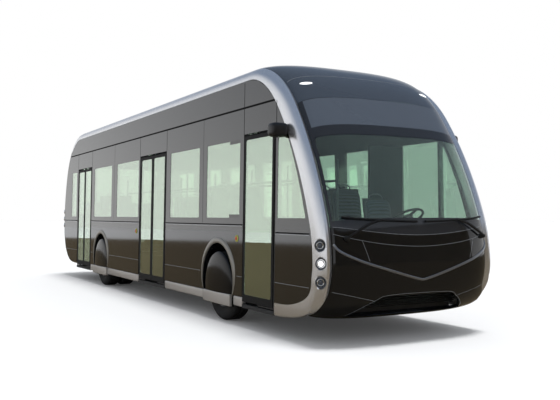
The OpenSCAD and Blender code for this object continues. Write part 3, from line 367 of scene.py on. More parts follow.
def strip(place, path, width, proud, sunk=0.002):
    """Low rounded bar along a path: its section is offset across the path and out of the surface, and placed."""
    path = np.asarray(path, float)
    along = np.gradient(path, axis=0)
    along /= np.linalg.norm(along, axis=1, keepdims=True)
    normal = np.stack([-along[:, 1], along[:, 0]], 1)
    across = width*np.array([-.5, -.5, -.3, .3, .5, .5])
    out = np.array([-sunk, .6*proud, proud, proud, .6*proud, -sunk])
    flat = path[:, None] + normal[:, None]*across[None, :, None]
    return tube(place(flat[..., 0], flat[..., 1], np.broadcast_to(out, flat.shape[:2])))


def line(p, q, steps=2):
    """Straight path from p to q."""
    return np.linspace(p, q, steps)


def curve(points, steps=12):
    """Smooth path through points: a Catmull-Rom cubic between each pair."""
    p = np.asarray(points, float)
    p = np.concatenate([[2*p[0] - p[1]], p, [2*p[-1] - p[-2]]])
    t = np.linspace(0, 1, steps, endpoint=False)[None, :, None]
    a, b, c, d = p[:-3, None], p[1:-2, None], p[2:-1, None], p[3:, None]
    cubic = 0.5*(2*b + (c - a)*t + (2*a - 5*b + 4*c - d)*t**2 + (3*b - a - 3*c + d)*t**3)
    return np.concatenate([cubic.reshape(-1, p.shape[1]), p[-2:-1]])


# Body form
# The outer form that skins, hoops and wall edges follow. Its centre profile is a chain of arcs, each with a centre
# and a radius, from the keel round the nose, over the roof and down the tail; rounded corners lead to the walls.
def polar(r, degrees):
    """Point at radius r and an angle in degrees."""
    return r*np.array([np.cos(np.radians(degrees)), np.sin(np.radians(degrees))])


nose_x, crown_z, belly_z, nose_z, tail_z = 6.080, 3.470, 0.265, 0.910, 1.300
chin_r, nose_r, screen_r, brow_r, tail_r = 0.900, 1.910, 4.980, 1.484, 3.500
nose_c = np.array([nose_x - nose_r, nose_z])
screen_c = nose_c + polar(nose_r - screen_r, 18)
brow_a = np.degrees(np.arcsin((crown_z - brow_r - screen_c[1])/(screen_r - brow_r)))
turns_at = np.array([-15, 0, 18, brow_a, 90, 160.7, 180])
chin_c = np.array([nose_x - chin_r, nose_z])
chin_p = chin_c + polar(chin_r, turns_at[0])
keel_r = (chin_p[1] - belly_z)/(1 + polar(1, turns_at[0])[1])
keel_c = chin_p - polar(keel_r, turns_at[0])
brow_p = screen_c + polar(screen_r, turns_at[3])
brow_c = brow_p - polar(brow_r, turns_at[3])
tail_c = np.array([tail_r - nose_x, tail_z])
crest_p = tail_c + polar(tail_r, turns_at[5])
crest_r = (crown_z - crest_p[1])/(1 - polar(1, turns_at[5])[1])
crest_c = crest_p - polar(crest_r, turns_at[5])
under_r = tail_z - belly_z
under_c = np.array([under_r - nose_x, tail_z])
centres = np.array([keel_c, chin_c, nose_c, screen_c, brow_c, crest_c, tail_c, under_c])
radii = np.array([keel_r, chin_r, nose_r, screen_r, brow_r, crest_r, tail_r, under_r])


def eased(a, at, values):
    """Values met at angles, eased between them by t*t*(3 - 2t)."""
    at, values = np.asarray(at, float), np.asarray(values, float)
    i = np.clip(np.searchsorted(at, a, side="right") - 1, 0, len(at) - 2)
    t = np.clip((a - at[i])/(at[i + 1] - at[i]), 0, 1)
    return values[i] + (values[i + 1] - values[i])*t*t*(3 - 2*t)


def corner_depth(a):
    """Depth of the body's rounded corner where the profile's normal points at angle a."""
    return eased(a, [-90, -15, brow_a, 90, 160.7, 180, 270], [.150, .385, .385, .238, .300, .300, .150])


def hoop_edge(a):
    """Corner angle at which the frame hoop meets the skins; the joint runs further out under the belly."""
    return eased(a, [-90, -30, 38, 90, 210, 270], [71.5, 63.7, 63.7, 62.5, 62.5, 35])


def set_in(a, phi):
    """How far the front lies below the plain form: the skins draw in toward the hoops, as the sixth power of the
    share across, and the hoops stand proud beside them and fall away to the walls."""
    draw_in, stand_out = 0.034, 0.028
    share = np.abs(phi)/hoop_edge(a)
    out = np.clip((np.abs(phi) - hoop_edge(a))/(90 - hoop_edge(a)), 0, 1)
    proud = -stand_out*np.clip(0.5 + 6*out, 0, 1)*(1 - out**2)**1.5
    on = eased(a, [-90, -55, -22, 38, 78, 90, 270], [0, 0, 1, 1, .25, 0, 0])
    return on*np.where(share < 1, draw_in*np.minimum(share, 1)**6, proud)


def skin(a, phi, deep=0.0):
    """Point of the body: profile normal a, corner angle phi (0 centre line, 90 wall), depth below the surface.
    The corner is a squashed superellipse of exponent 3: cos^(2/3) inward, sin^(2/3) across."""
    a, phi, deep = np.broadcast_arrays(np.asarray(a, float), np.asarray(phi, float), np.asarray(deep, float))
    which = np.digitize(a, turns_at)
    turn, bend = np.radians(a), np.radians(phi)
    deep = deep + set_in(a, phi)
    inward = deep + (corner_depth(a) - deep)*(1 - np.abs(np.cos(bend))**(2/3))
    x = centres[which, 0] + (radii[which] - inward)*np.cos(turn)
    z = centres[which, 1] + (radii[which] - inward)*np.sin(turn)
    wide = half - np.maximum(0, z - sill_z)*np.tan(lean)
    return np.stack([x, np.sign(bend)*np.abs(np.sin(bend))**(2/3)*(wide - deep), z], -1)


def on_front(y, z, out):
    """Place on the front: across and height to space. The corner angle follows from the width at z, and the
    profile angle is found by halving its range."""
    y, z, out = np.broadcast_arrays(np.asarray(y, float), np.asarray(z, float), np.asarray(out, float))
    wide = half - np.maximum(0, z - sill_z)*np.tan(lean)
    phi = np.degrees(np.arcsin(np.clip(np.abs(y)/wide, 0, 0.9999)**1.5))*np.where(y < 0, -1, 1)
    low, high = np.full(z.shape, -89.9), np.full(z.shape, 89.9)
    for _ in range(40):
        a = (low + high)/2
        under = skin(a, phi)[..., 2] < z
        low, high = np.where(under, a, low), np.where(under, high, a)
    return skin(a, phi, -out)


rim_a = np.linspace(-89, 89.9, 400)
rim = skin(rim_a, 90)


def wall_front(z):
    """Foremost x of a side wall at height z."""
    return np.interp(z, rim[:, 2], rim[:, 0])


rear_rim = skin(np.linspace(269, 90.1, 400), 90)


def wall_rear(z):
    """Rearmost x of a side wall at height z."""
    return np.interp(z, rear_rim[:, 2], rear_rim[:, 0])


# Wall joints and trim
# Extruded rubber pressed into the joints between the panels, a thin bright moulding clipped on at the waist, and
# grey strips at the lower panel joint, a painted highlight on its edges. The doors and wheel arches interrupt them.
edge_in, arch_half = 0.012, 0.600
axles = {"front": 3.220, "rear": -2.580}
bays = {-1: [(None, jambs["rear"][0]),
             (jambs["rear"][1], jambs["mid"][0]),
             (jambs["mid"][1], jambs["front"][0]),
             (jambs["front"][1], None)],
        1: [(None, None)]}
wall_seams = {-1: [-1.7105, 2.6708], 1: [-3.300, -1.7105, 1.230, 2.6708]}
# Width of each strip and how far it stands out.
drip_bar, trim_bar, trim_seal, highlight_strip = (.024, .005), (.007, .003), (.016, .002), (.006, .0015)
pane_seam, jamb_seam, seal_above, seam_foot, seam_clear = (.006, .001), (.012, .001), .018, .03, .012
dark_lines, bright_lines, highlight_lines = [], [], []
for side in (-1, 1):
    place = on_wall(side)
    drip = line((wall_rear(drip_z) + .01, drip_z), (wall_front(drip_z) - .01, drip_z), 12)
    dark_lines.append(strip(place, drip, *drip_bar))
    for low, high in bays[side]:
        x0 = wall_rear(waist_z) + edge_in if low is None else low + edge_in
        x1 = wall_front(waist_z) - edge_in if high is None else high - edge_in
        trim_z = cab_waist_z if low == jambs["front"][1] else waist_z
        seal_z = trim_z + seal_above
        bright_lines.append(strip(place, line((x0, trim_z), (x1, trim_z)), *trim_bar))
        dark_lines.append(strip(place, line((x0, seal_z), (x1, seal_z)), *trim_seal))
        spans = [(x0, x1)]
        for x in axles.values():
            spans = [s for a, b in spans for s in
                     ([(a, x - arch_half), (x + arch_half, b)] if a < x < b else [(a, b)])]
        for a, b in spans:
            reach = min(b, wall_front(low_seam_z) - edge_in)
            highlight_lines.append(strip(place, line((a, low_seam_z), (reach, low_seam_z)), *highlight_strip))
    for x in wall_seams[side]:
        dark_lines.append(strip(place, line((x, waist_z + seam_foot), (x, drip_z - seam_clear)), *pane_seam))
for x in (x for pair in jambs.values() for x in pair):
    dark_lines.append(strip(on_wall(-1), line((x, header_z), (x, drip_z - seam_clear)), *jamb_seam))
cove_x = jambs["front"][0]
dark_lines.append(strip(on_wall(-1), line((cove_x, drip_z + seam_clear), (cove_x, cove_top)), *jamb_seam))
piece("wall_joint_rubber", dark_lines, rubber)
piece("waist_moulding", bright_lines, bright_trim)
# Grey strips at the lower joint: a painted highlight along the panel edges.
piece("lower_panel_highlights", highlight_lines, edge_highlight_grey)

# Wheel arch lips
# Pressed flares bonded round each wheel opening, finished in satin graphite over the black panel.
arch_r, arch_z, lip_w, lip_out = 0.503, 0.580, 0.078, 0.020
lip_from, lip_to, lip_fade = -24, 204, 50
# Metal-flake paint: warm grey, half matt.
graphite = finish("satin_graphite_paint", "#84817b", "#8e8b85", 4, (0.28, 0.4), 0.01, Metallic=0.6)
lips = []
for side in (-1, 1):
    for x in axles.values():
        t = np.linspace(lip_from, lip_to, 90)
        taper = np.clip(np.minimum(t - lip_from, lip_to - t)/lip_fade, 0.08, 1)**0.7
        across = np.array([0, .02, .25, .6, .9, 1.0])
        rise = lip_out*np.array([0, .75, 1, .8, .35, 0])
        r = arch_r + lip_w*taper[:, None]*across
        turn = np.radians(t)[:, None]
        points = on_wall(side)(x + r*np.cos(turn), arch_z + r*np.sin(turn), taper[:, None]*rise)
        lips.append(tube(points))
piece("wheel_arch_lips", lips, graphite)

# Door buttons
# Moulded push buttons beside the doors: a red cap in a yellow-green light ring, clipped into the wall.
# Moulded polycarbonate: signal red, half gloss.
button_red = finish("red_button_cap", "#b5352a", "#c2402f", 2, (0.3, 0.4), 0.01)
# Light-guide plastic: pale yellow-green.
button_ring = finish("yellow_light_ring", "#a9a63f", "#8fa04c", 3, (0.35, 0.45), 0.01)
cap_profile = [[0, .018], [.016, .0165], [.026, .012], [.028, 0]]
rim_profile = [[.028, .002], [.029, .011], [.040, .010], [.046, .004], [.046, -.002], [.028, 0]]
buttons = on_wall(-1)(np.array([3.81, -0.31]), np.array([1.16, 1.18]), np.zeros(2))
piece("door_button_caps", [lathe(cap_profile, p, [0, -1, 0]) for p in buttons], button_red)
piece("door_button_rings", [lathe(rim_profile, p, [0, -1, 0]) for p in buttons], button_ring)

# Window panes
# Flush bonded safety glass, green-tinted in the mass. The door panes are cut from the same sheet, and black enamel
# fills the stepped corner of the window behind the front door.


def glass(name, tint, ior, mirror):
    """Clear tinted glass: all its colour is taken in one pass through a pane; fine ripple from the float bath.
    The mirror share, set as Metallic, and a high IOR stand for a reflective metal-oxide coat."""
    made, tree = new_tree(name)
    place = add_node(tree, "ShaderNodeTexCoord", {})
    ripple = add_node(tree, "ShaderNodeTexNoise", {"Vector": place.outputs["Object"], "Scale": 1000/400})
    bump = add_node(tree, "ShaderNodeBump", {"Height": ripple.outputs["Fac"], "Distance": 0.0002})
    surface(tree, "ShaderNodeBsdfPrincipled",
            {"Base Color": hex_linear(tint), "Roughness": 0.0, "IOR": ior, "Transmission Weight": 1.0,
             "Metallic": mirror, "Normal": bump.outputs[0]})
    return made


leaf_names = ["front_leaf", "mid_leaf_a", "mid_leaf_b", "rear_leaf_a", "rear_leaf_b"]
# Coated float glass: pale green to look through, and it mirrors about a third of the sky.
pane_glass = glass("green_coated_glass", "#e6f7e5", 2.0, 0.36)
dress(pane_glass, "side_glass", *[f"{name}_glass" for name in leaf_names])

# Enamel behind glass: black and mirror-smooth.
pane_enamel = finish("black_pane_enamel", "#0a0b0c", "#0e0f10", 3, (0.05, 0.09), 0.003, IOR=1.75)
step_x, step_z, step_out = (3.560, 3.871), ((1.434, 1.480), (2.430, 2.470)), (-.0028, -.0006)
corner_x, corner_z = np.array(step_x)[[0, 1, 1, 0]], np.array([0, 0, 1, 1])
steps = []
for low, high in step_z:
    z = low + (high - low)*corner_z
    steps.append(tube(np.stack([on_wall(-1)(corner_x, z, np.full(4, out)) for out in step_out])))
piece("front_window_corners", steps, pane_enamel)

# Frame hoops
# The silver bands that run up each front corner, along the roof edge and down at the rear: aluminium extrusions,
# stretch-formed, sprayed satin silver. Three round lamp wells are pressed into each front band, and at the sill it
# ends in a rounded foot with a fillet plate on the wall.
hoop_t, hoop_rear_a = 0.045, 125.35
lamp_heights, lamp_corner, lamp_yaw = [1.172, 0.945, 0.682], np.array([77, 76.5, 74.5]), np.radians(47)
well_r, well_soft, well_deep = 0.066, 0.006, 0.030
# Metal-flake paint under satin lacquer: pale silver with long soft highlights.
silver_paint = finish("satin_silver_paint", "#e4e5e8", "#eaebee", 2, (0.24, 0.32), 0.01, Metallic=0.92)


def slab(outer, inner):
    """Closed wall between an outer and an inner grid of points."""
    loop = np.concatenate([outer, inner[:, ::-1]], 1)
    first = np.concatenate([outer[:1], outer[:1, ::-1]], 1)
    last = np.concatenate([outer[-1:], outer[-1:, ::-1]], 1)
    return grid(np.concatenate([first, loop, last]), wrap=True)


def mirrored(part):
    """The same part on the other side of the centre line."""
    return part[0]*np.array([1, -1, 1]), part[1][:, ::-1]


def front_angle(z):
    """Normal angle of the front profile at height z between the chin and the top of the windscreen."""
    a = np.linspace(-60, 80, 1400)
    which = np.digitize(a, turns_at)
    return np.interp(z, centres[which, 1] + radii[which]*np.sin(np.radians(a)), a)


lamp_at = skin(front_angle(np.array(lamp_heights)), lamp_corner)
lamp_axis = np.array([np.cos(lamp_yaw), np.sin(lamp_yaw), 0])


def with_wells(points):
    """Presses flat-bottomed round wells into the hoop: inside a well's radius a point drops to the well's floor."""
    for middle in lamp_at:
        off = points - middle
        height = off @ lamp_axis
        away = np.linalg.norm(off - height[..., None]*lamp_axis, axis=-1)
        t = np.clip((well_r + well_soft - away)/well_soft, 0, 1)
        near = (np.abs(height) < 0.2)*t*t*(3 - 2*t)
        points = points - (near*(height + well_deep))[..., None]*lamp_axis
    return points


hoop_a = np.concatenate([np.linspace(-90, -23, 40), np.linspace(-22.8, 11.8, 230), np.linspace(12, 89.999, 70),
                         np.linspace(90, hoop_rear_a, 30)])[:, None]
hoop_phi = hoop_edge(hoop_a) + (90 - hoop_edge(hoop_a))*np.linspace(0, 1, 64)
hoop_faces = [with_wells(skin(hoop_a, hoop_phi)), skin(hoop_a, hoop_phi, hoop_t)]
hoop_start = np.array([jambs["front"][1] + .001, 0, 0])
hoop = slab(*[np.concatenate([hoop_start + face[:1]*np.array([0, 1, 1]), face]) for face in hoop_faces])
foot_x = np.array([0, .012, .10, .25, .45, .60, .70, .80]) + hoop_start[0]
foot_low = np.array([.262, .256, .257, .264, .286, .314, .344, .385])
foot_t = np.radians(np.linspace(0, 90, 6))
foot_round, foot_high, foot_deep = 0.020, 0.4145, 0.043
foot_y = np.concatenate([[half - foot_deep], half - foot_round*(1 - np.sin(foot_t)), [half, half - foot_deep]])
foot_drop = np.concatenate([[0], foot_round*(1 - np.cos(foot_t)), [1, 1]])
foot_z = np.where(foot_drop == 1, foot_high, np.minimum(foot_low[:, None] + foot_drop, foot_high - .002))
hoop_foot = tube(np.stack(np.broadcast_arrays(foot_x[:, None], foot_y, foot_z), -1))
web_in = curve([(5.02, .4145), (5.227, .433), (5.453, .488), (5.600, .560), (5.664, .645), (5.681, .737)], 8)
web_z = np.linspace(.415, .737, 21)
web_out = np.concatenate([line((5.02, .405), (5.52, .405), 20), np.stack([wall_front(web_z), web_z], 1)])
web = web_in[:, None] + (web_out - web_in)[:, None]*np.linspace(0, 1, 8)[:, None]
web = slab(*[on_wall(1)(web[..., 0], web[..., 1], np.full(web.shape[:2], out)) for out in (.003, -.004)])
hoop_parts = [hoop, hoop_foot, web]
piece("silver_hoops", [one for part in hoop_parts for one in (part, mirrored(part))], silver_paint,
      stands_for=["frame_hoops"])

# Roof and nose cap
# Moulded glass-fibre shells, gloss blue-black, bonded to the hoops and meeting at a seam behind the brow.
roof_from, roof_to, cap_from, shell_t, skin_gap = 56.3, 151.8625, 38.3, 0.040, 0.05
# Moulded gelcoat: dark slate, smooth, mirroring the sky at flat angles.
cap_paint = finish("blue_black_gelcoat", "#343a42", "#3a4049", 6, (0.07, 0.12), 0.004, IOR=1.8)


def skin_slab(a, thick, columns=73):
    """Closed piece of skin between the hoops: rows at profile angles a, which may vary across, and a thickness."""
    u = np.linspace(-1, 1, columns)
    phi = u*(hoop_edge(a) - skin_gap)
    return slab(skin(a, phi), skin(a, phi, thick))


roof_a = np.concatenate([np.linspace(roof_from, 89.999, 20), np.linspace(90, roof_to, 40)])[:, None]
piece("roof_shell", [skin_slab(roof_a, shell_t)], cap_paint, stands_for=["roof"])
cap_a = np.linspace(cap_from + .02, roof_from - .02, 30)[:, None]
piece("nose_cap_shell", [skin_slab(cap_a, shell_t)], cap_paint, stands_for=["nose_cap"])
seam_y = np.linspace(-1, 1, 41)


def seam_path(a, reach=1.0):
    """Path on the front, as across and height, of one profile angle between the hoops."""
    phi = seam_y*reach*(hoop_edge(a) - skin_gap)
    return skin(np.full(len(phi), a), phi)[:, 1:]


# The roof seam is drawn in grey: a painted highlight along the joint.
piece("roof_seam_highlight", [strip(on_front, seam_path(roof_from - .2), *pane_seam)], edge_highlight_grey)

# Windscreen
# One pane of curved laminated glass, green-tinted, bonded to the hoops. A black enamel border and band are fired
# on, and the smoked cover of the route display is bonded between them.
screen_t, enamel_out = 0.010, (0.0002, 0.0010)
clear_z, band_z, display_z = (1.440, 2.425), (2.425, 2.550), (2.550, 2.900)
# Laminated glass: clear with a green cast and ordinary glass gloss.
screen_glass = glass("green_windscreen_glass", "#d8f4ea", 1.52, 0.0)
# Fired-on enamel: charcoal under a glassy surface.
frit_black = finish("black_ceramic_enamel", "#222427", "#27292d", 2, (0.05, 0.09), 0.003)
# Smoked acrylic: dark grey, mirroring the sky.
display_cover = finish("smoked_display_cover", "#42474e", "#484d54", 9, (0.08, 0.16), 0.004, IOR=2.3)


def across_share(u):
    """How far u lies across the front, 0 on the centre line and 1 at the hoops, squared in width."""
    edge = np.radians(62.5)
    return (np.abs(np.sin(edge*u))/np.sin(edge))**(4/3)


def screen_foot(u):
    """Profile angle of the windscreen's lower edge, lowest on the centre line."""
    return 10.1 + 4.2*across_share(u)


columns = np.linspace(-1, 1, 73)
screen_a = screen_foot(columns) + (cap_from - screen_foot(columns))*np.linspace(0, 1, 60)[:, None]
piece("windscreen_pane", [skin_slab(screen_a, screen_t)], screen_glass,
      stands_for=["windscreen"])


def over_screen(low, high, left, right, rows=12, cols=40):
    """Thin coat on the windscreen's outer face between two profile angles (each may vary across) and two shares
    u, each given at its foot and at its head."""
    t = np.linspace(0, 1, rows)[:, None]
    left, right = [(1 - t)*foot + t*head for foot, head in (left, right)]
    u = left + (right - left)*np.linspace(0, 1, cols)
    a = (1 - t)*low(u) + t*high(u)
    phi = u*(hoop_edge(a) - skin_gap)
    low_out, high_out = enamel_out
    return slab(skin(a, phi, -high_out), skin(a, phi, -low_out))


def level(z, droop=0.0):
    """Profile angle at height z on the centre line, lower by droop degrees at the hoops, as a function of u."""
    return lambda u: front_angle(z) - droop*across_share(u)


screen_edge, border_foot, border_head = (0.995, 0.995), 0.935, 0.865
all_across = [tuple(-v for v in screen_edge), screen_edge]
screen_head = cap_from - .1
frit = [over_screen(screen_foot, level(clear_z[0]), *all_across),
        over_screen(level(band_z[0]), level(band_z[1]), *all_across),
        over_screen(level(display_z[1]), lambda u: screen_head + 0*u, *all_across)]
for s in (-1, 1):
    frit.append(over_screen(level(clear_z[0]), level(display_z[1]), (s*border_foot, s*border_head),
                            (s*screen_edge[0], s*screen_edge[1]), 40, 8))
piece("windscreen_frit", frit, frit_black)
display_foot = np.interp(front_angle(display_z[0]), [front_angle(clear_z[0]), front_angle(display_z[1])],
                         [border_foot, border_head])
display_ends = [(s*display_foot, s*border_head) for s in (-1, 1)]
display_coat = over_screen(level(display_z[0]), level(display_z[1]), *display_ends)
piece("route_display_cover", [display_coat], display_cover)

# Front panel and bumper
# Two gloss black mouldings: the panel under the windscreen carries a bright V moulding, and the bumper below is
# open in the middle for cooling air, with louvres and a bent sheet duct set back in the opening.
panel_t = 0.040


def chin_line(u):
    """Profile angle of the joint between panel and bumper, lowest on the centre line."""
    return -26 + 9*across_share(u)


rows = np.linspace(0, 1, 60)[:, None]
panel_a = chin_line(columns) + .04 + (screen_foot(columns) - chin_line(columns) - .06)*rows
piece("front_panel_moulding", [skin_slab(panel_a, panel_t)], black_paint,
      stands_for=["front_panel"])
opening_y = np.array([0, .50, .60, .72, .85, .86])
opening_z = np.array([.556, .556, .510, .440, .340, .323])
lip_z = 0.323
fine_u = np.linspace(-1, 1, 161)


def opening_angle(u):
    """Profile angle of the mouth's upper edge across the bumper; beside the mouth it is the lip's own angle."""
    a = np.linspace(-90, -20, 300)[:, None]
    points = skin(a, u*(hoop_edge(a) - skin_gap))
    below = points[..., 2] < np.interp(np.abs(points[..., 1]), opening_y, opening_z)
    return a[np.clip(below.sum(0), 0, len(a) - 1), 0]


def lip_angle(u):
    """Profile angle of the lip's upper edge: where the skin is at the lip's height."""
    a = np.linspace(-90, -20, 300)[:, None]
    below = skin(a, u*(hoop_edge(a) - skin_gap))[..., 2] < lip_z
    return a[np.clip(below.sum(0), 1, len(a) - 1), 0]


lower = opening_angle(fine_u)
lower = np.convolve(np.pad(lower, 3, mode="edge"), np.ones(7)/7, mode="valid")
lip_a = -90 + (lip_angle(fine_u) + 90)*np.linspace(0, 1, 12)[:, None]
bumper_a = lower + (chin_line(fine_u) - lower)*np.linspace(0, 1, 40)[:, None]
piece("bumper_moulding", [skin_slab(a, panel_t, len(fine_u)) for a in (bumper_a, lip_a)], black_paint,
      stands_for=["front_bumper"])
# Moulded plastic: dull black.
louvre_plastic = finish("black_grille_plastic", "#0c0d0e", "#151617", 4, (0.5, 0.7), 0.05)
louvre_foot, louvre_head, louvre_step, louvre_deep, louvre_short = 0.334, 0.560, 0.034, 0.075, 0.01
section = np.array([[0, 0], [0, .006], [-.05, .022], [-.05, .016]])
louvres = []
for z in np.arange(louvre_foot, louvre_head, louvre_step):
    reach = np.interp(z, opening_z[::-1], opening_y[::-1]) - louvre_short
    y = np.linspace(-reach, reach, 40)
    front_edge = on_front(y, np.full(40, z), np.full(40, -louvre_deep))
    louvres.append(tube(front_edge[:, None] + section[:, 0, None]*np.array([1, 0, 0]) +
                        section[:, 1, None]*np.array([0, 0, 1])))
piece("bumper_louvres", louvres, louvre_plastic)
duct_deep = np.array([.040, .090, .145, .150, .150, .150])[:, None]
duct_z = np.array([.322, .322, .326, .345, .450, .600])[:, None]
duct_y, duct_level = np.linspace(-.84, .84, 40)[None, :], .345
duct_at = on_front(duct_y, duct_level + 0*duct_z, -duct_deep)*[1, 1, 0] + duct_z[..., None]*[0, 0, 1]
piece("bumper_duct", [slab(duct_at, duct_at - [.006, 0, .004])], louvre_plastic)


def both_ways(half_path):
    """Points from the centre line outward, led by their mirror image on the other side."""
    p = np.asarray(half_path)
    return np.concatenate([p[:0:-1]*[-1, 1], p])


v_path = curve(both_ways([(0, .735), (.05, .742), (.20, .778), (.50, .861), (.79, .946), (.985, 1.023),
                          (1.10, 1.087), (1.150, 1.150)]))
v_bar = (.028, .010)
# Brushed aluminium: mid grey metal with a soft sheen.
v_silver = finish("brushed_v_moulding", "#8a8d92", "#999ca1", 2, (0.25, 0.33), 0.01, Metallic=0.9)
piece("front_v_moulding", [strip(on_front, v_path, *v_bar)], v_silver)
cover_seam = curve(both_ways([(0, 1.115), (.32, 1.128), (.65, 1.162), (.95, 1.215), (1.145, 1.262)]))
short_seam = line((.828, 1.194), (.745, .963), 8)
low_seam = curve([(1.150, .628), (1.00, .598), (.80, .552), (.62, .512)])
mouth = curve(both_ways([(0, .578), (.284, .576), (.504, .561), (.60, .515), (.70, .458), (.80, .388),
                         (.86, .335)]))
fine_seam = (.0045, .001)
# The front joints are drawn as grey strips: a painted highlight along each edge.
front_seams = [strip(on_front, p, *fine_seam) for p in (cover_seam, mouth)]
front_seams += [strip(on_front, p*[s, 1], *fine_seam) for p in (short_seam, low_seam) for s in (-1, 1)]
front_seams.append(strip(on_front, skin(screen_foot(columns), columns*63.6)[:, 1:], *pane_seam))
piece("front_panel_edges", front_seams, edge_highlight_grey)

# Marker lamps
# Two flush white position lamps let into the nose cap above the display.
# Lit clear polycarbonate: white, with fine prisms.
lit_lens, tree = new_tree("lit_lamp_lens")
place = add_node(tree, "ShaderNodeTexCoord", {})
prism = add_node(tree, "ShaderNodeTexWave", {"Vector": place.outputs["Object"], "Scale": 1000/60})
bump = add_node(tree, "ShaderNodeBump", {"Height": prism.outputs["Fac"], "Distance": 0.0005})
surface(tree, "ShaderNodeBsdfPrincipled",
        {"Base Color": hex_linear("#f2f4f6"), "Roughness": 0.15, "Normal": bump.outputs[0],
         "Emission Color": hex_linear("#ffffff"), "Emission Strength": 0.9})
marker_y, marker_z, marker_tilt = 0.925, 3.074, 0.12
marker_wide, marker_tall, marker_proud = 0.080, 0.017, 0.006


def oval_on_front(y, z, wide, tall, proud, tilt=0.0):
    """Low oval dome on the front: rings shrink from its rim to its middle while it rises as 1 - r^4. The tilt is
    how much it falls along its width."""
    r, t = np.meshgrid(np.linspace(1, 0, 9), np.linspace(0, 2*np.pi, 48, endpoint=False), indexing="ij")
    fall = tilt*wide*np.cos(t)
    top = on_front(y + wide*r*np.cos(t), z + tall*r*np.sin(t) - r*fall, proud*(1 - r**4) + .0005)
    base = on_front(y + wide*np.cos(t[:1]), z + tall*np.sin(t[:1]) - fall[:1], -.004 + 0*t[:1])
    under = np.broadcast_to(base.mean(1, keepdims=True), base.shape)
    return grid(np.concatenate([under, base, top]), wrap=True)


markers = [oval_on_front(s*marker_y, marker_z, marker_wide, marker_tall, marker_proud, s*marker_tilt)
           for s in (-1, 1)]
piece("marker_lamps", markers, lit_lens)

# Rear panel and window
# The rear carries a flush dark window, a gloss black moulding below it and black corners with three round lamps.
rear_glass_z = 1.500
glass_to = 180 - np.degrees(np.arcsin((rear_glass_z - tail_z)/tail_r))
rear_a = np.linspace(roof_to + .02, glass_to, 40)[:, None]
piece("rear_window_pane", [skin_slab(rear_a, screen_t)], pane_glass,
      stands_for=["rear_window"])
low_a = np.linspace(glass_to + .04, 270, 60)[:, None]
corner_a = np.linspace(hoop_rear_a + .02, 270, 110)[:, None]
corner_phi = hoop_edge(corner_a) + (90 - hoop_edge(corner_a))*np.linspace(0, 1, 24)
corner_faces = [skin(corner_a, corner_phi), skin(corner_a, corner_phi, hoop_t)]
corner_end = np.array([jambs["rear"][0] - .001, 0, 0])
rear_corner = slab(*[np.concatenate([face, corner_end + face[-1:]*np.array([0, 1, 1])]) for face in corner_faces])
piece("rear_mouldings", [skin_slab(low_a, panel_t), rear_corner, mirrored(rear_corner)], black_paint,
      stands_for=["rear_panel"])

# Head and tail lamps
# Round projector lamps pushed into the wells: a dark dish, a bright ring and a domed lens; the middle one is lit.
# Vapour-coated dish: dim grey metal.
dish_grey = finish("grey_lamp_dish", "#55585c", "#606367", 2, (0.25, 0.35), 0.01, Metallic=0.6)
# Chrome plate: clear bright reflections.
chrome = finish("bright_chrome", "#d5d8db", "#dfe2e5", 2, (0.06, 0.1), 0.002, Metallic=1.0)
# Glass lens in the dark: near black with sharp glints.
lens_dark = finish("smoked_projector_lens", "#3a3d42", "#44474c", 2, (0.03, 0.06), 0.002)
# Tinted polycarbonate: deep red with a wet gloss.
red_lens = finish("red_polycarbonate", "#7d1412", "#8f1a16", 4, (0.12, 0.2), 0.02, Coat_Weight=0.6)
dish = np.array([[0, -.001], [.030, .001], [.052, .007], [.062, .014], [.064, .012], [.064, -.004], [0, -.004]])
ring_a = np.linspace(0, 2*np.pi, 13)
ring_profile = np.stack([.036 + .007*np.cos(ring_a), .012 + .007*np.sin(ring_a)], 1)
lens_t = np.linspace(0, np.pi/2, 9)
lens = np.concatenate([np.stack([.031*np.sin(lens_t), .006 + .014*np.cos(lens_t)], 1), [[.031, 0], [0, 0]]])
wells = lamp_at - well_deep*lamp_axis
sides = [np.array([1, s, 1]) for s in (1, -1)]
piece("headlamp_dishes", [lathe(dish, w*s, lamp_axis*s) for w in wells for s in sides], dish_grey,
      stands_for=["headlamps"])
piece("headlamp_rings", [lathe(ring_profile, w*s, lamp_axis*s) for w in wells for s in sides], chrome)
piece("projector_lenses", [lathe(lens, w*s, lamp_axis*s) for w in wells[[0, 2]] for s in sides], lens_dark)
day_lens = lens*np.array([1.5, 1.0])
piece("daylight_lenses", [lathe(day_lens, wells[1]*s, lamp_axis*s) for s in sides], lit_lens)
tail_heights = np.array([1.560, 1.380, 1.200])
tail_a = np.where(tail_heights > tail_z, 180 - np.degrees(np.arcsin((tail_heights - tail_z)/tail_r)),
                  180 + np.degrees(np.arcsin((tail_z - tail_heights)/under_r)))
tail_corner, tail_sunk = 77, 0.020
tail_axis = np.array([-np.cos(lamp_yaw), np.sin(lamp_yaw), 0])
tail_at = skin(tail_a, tail_corner) - tail_sunk*tail_axis
tail_dome = np.array([[0, .014], [.030, .0125], [.050, .007], [.058, -.002], [.060, -.02], [0, -.02]])
tail_ring = np.array([[.060, -.02], [.060, .004], [.064, .008], [.068, .003], [.068, -.02], [.060, -.02]])
piece("tail_lenses", [lathe(tail_dome, p*s, tail_axis*s) for p in tail_at for s in sides], red_lens,
      stands_for=["tail_lamps"])
piece("tail_lamp_rings", [lathe(tail_ring, p*s, tail_axis*s) for p in tail_at for s in sides], chrome)

# Sill skirts and wheel covers
# Extruded silver skirts close the sills. Domed gloss black covers stand over the wheels, each with a silver foot
# bar; the front covers are carried by the knuckles and steer with the wheels.
skirt_z, skirt_t, skirt_round = (0.265, 0.3987), 0.060, 0.022
# Metal-flake paint: warm silver, half matt.
lower_silver = finish("satin_skirt_paint", "#b9b6b3", "#c2bfbc", 2, (0.32, 0.4), 0.01, Metallic=0.6)


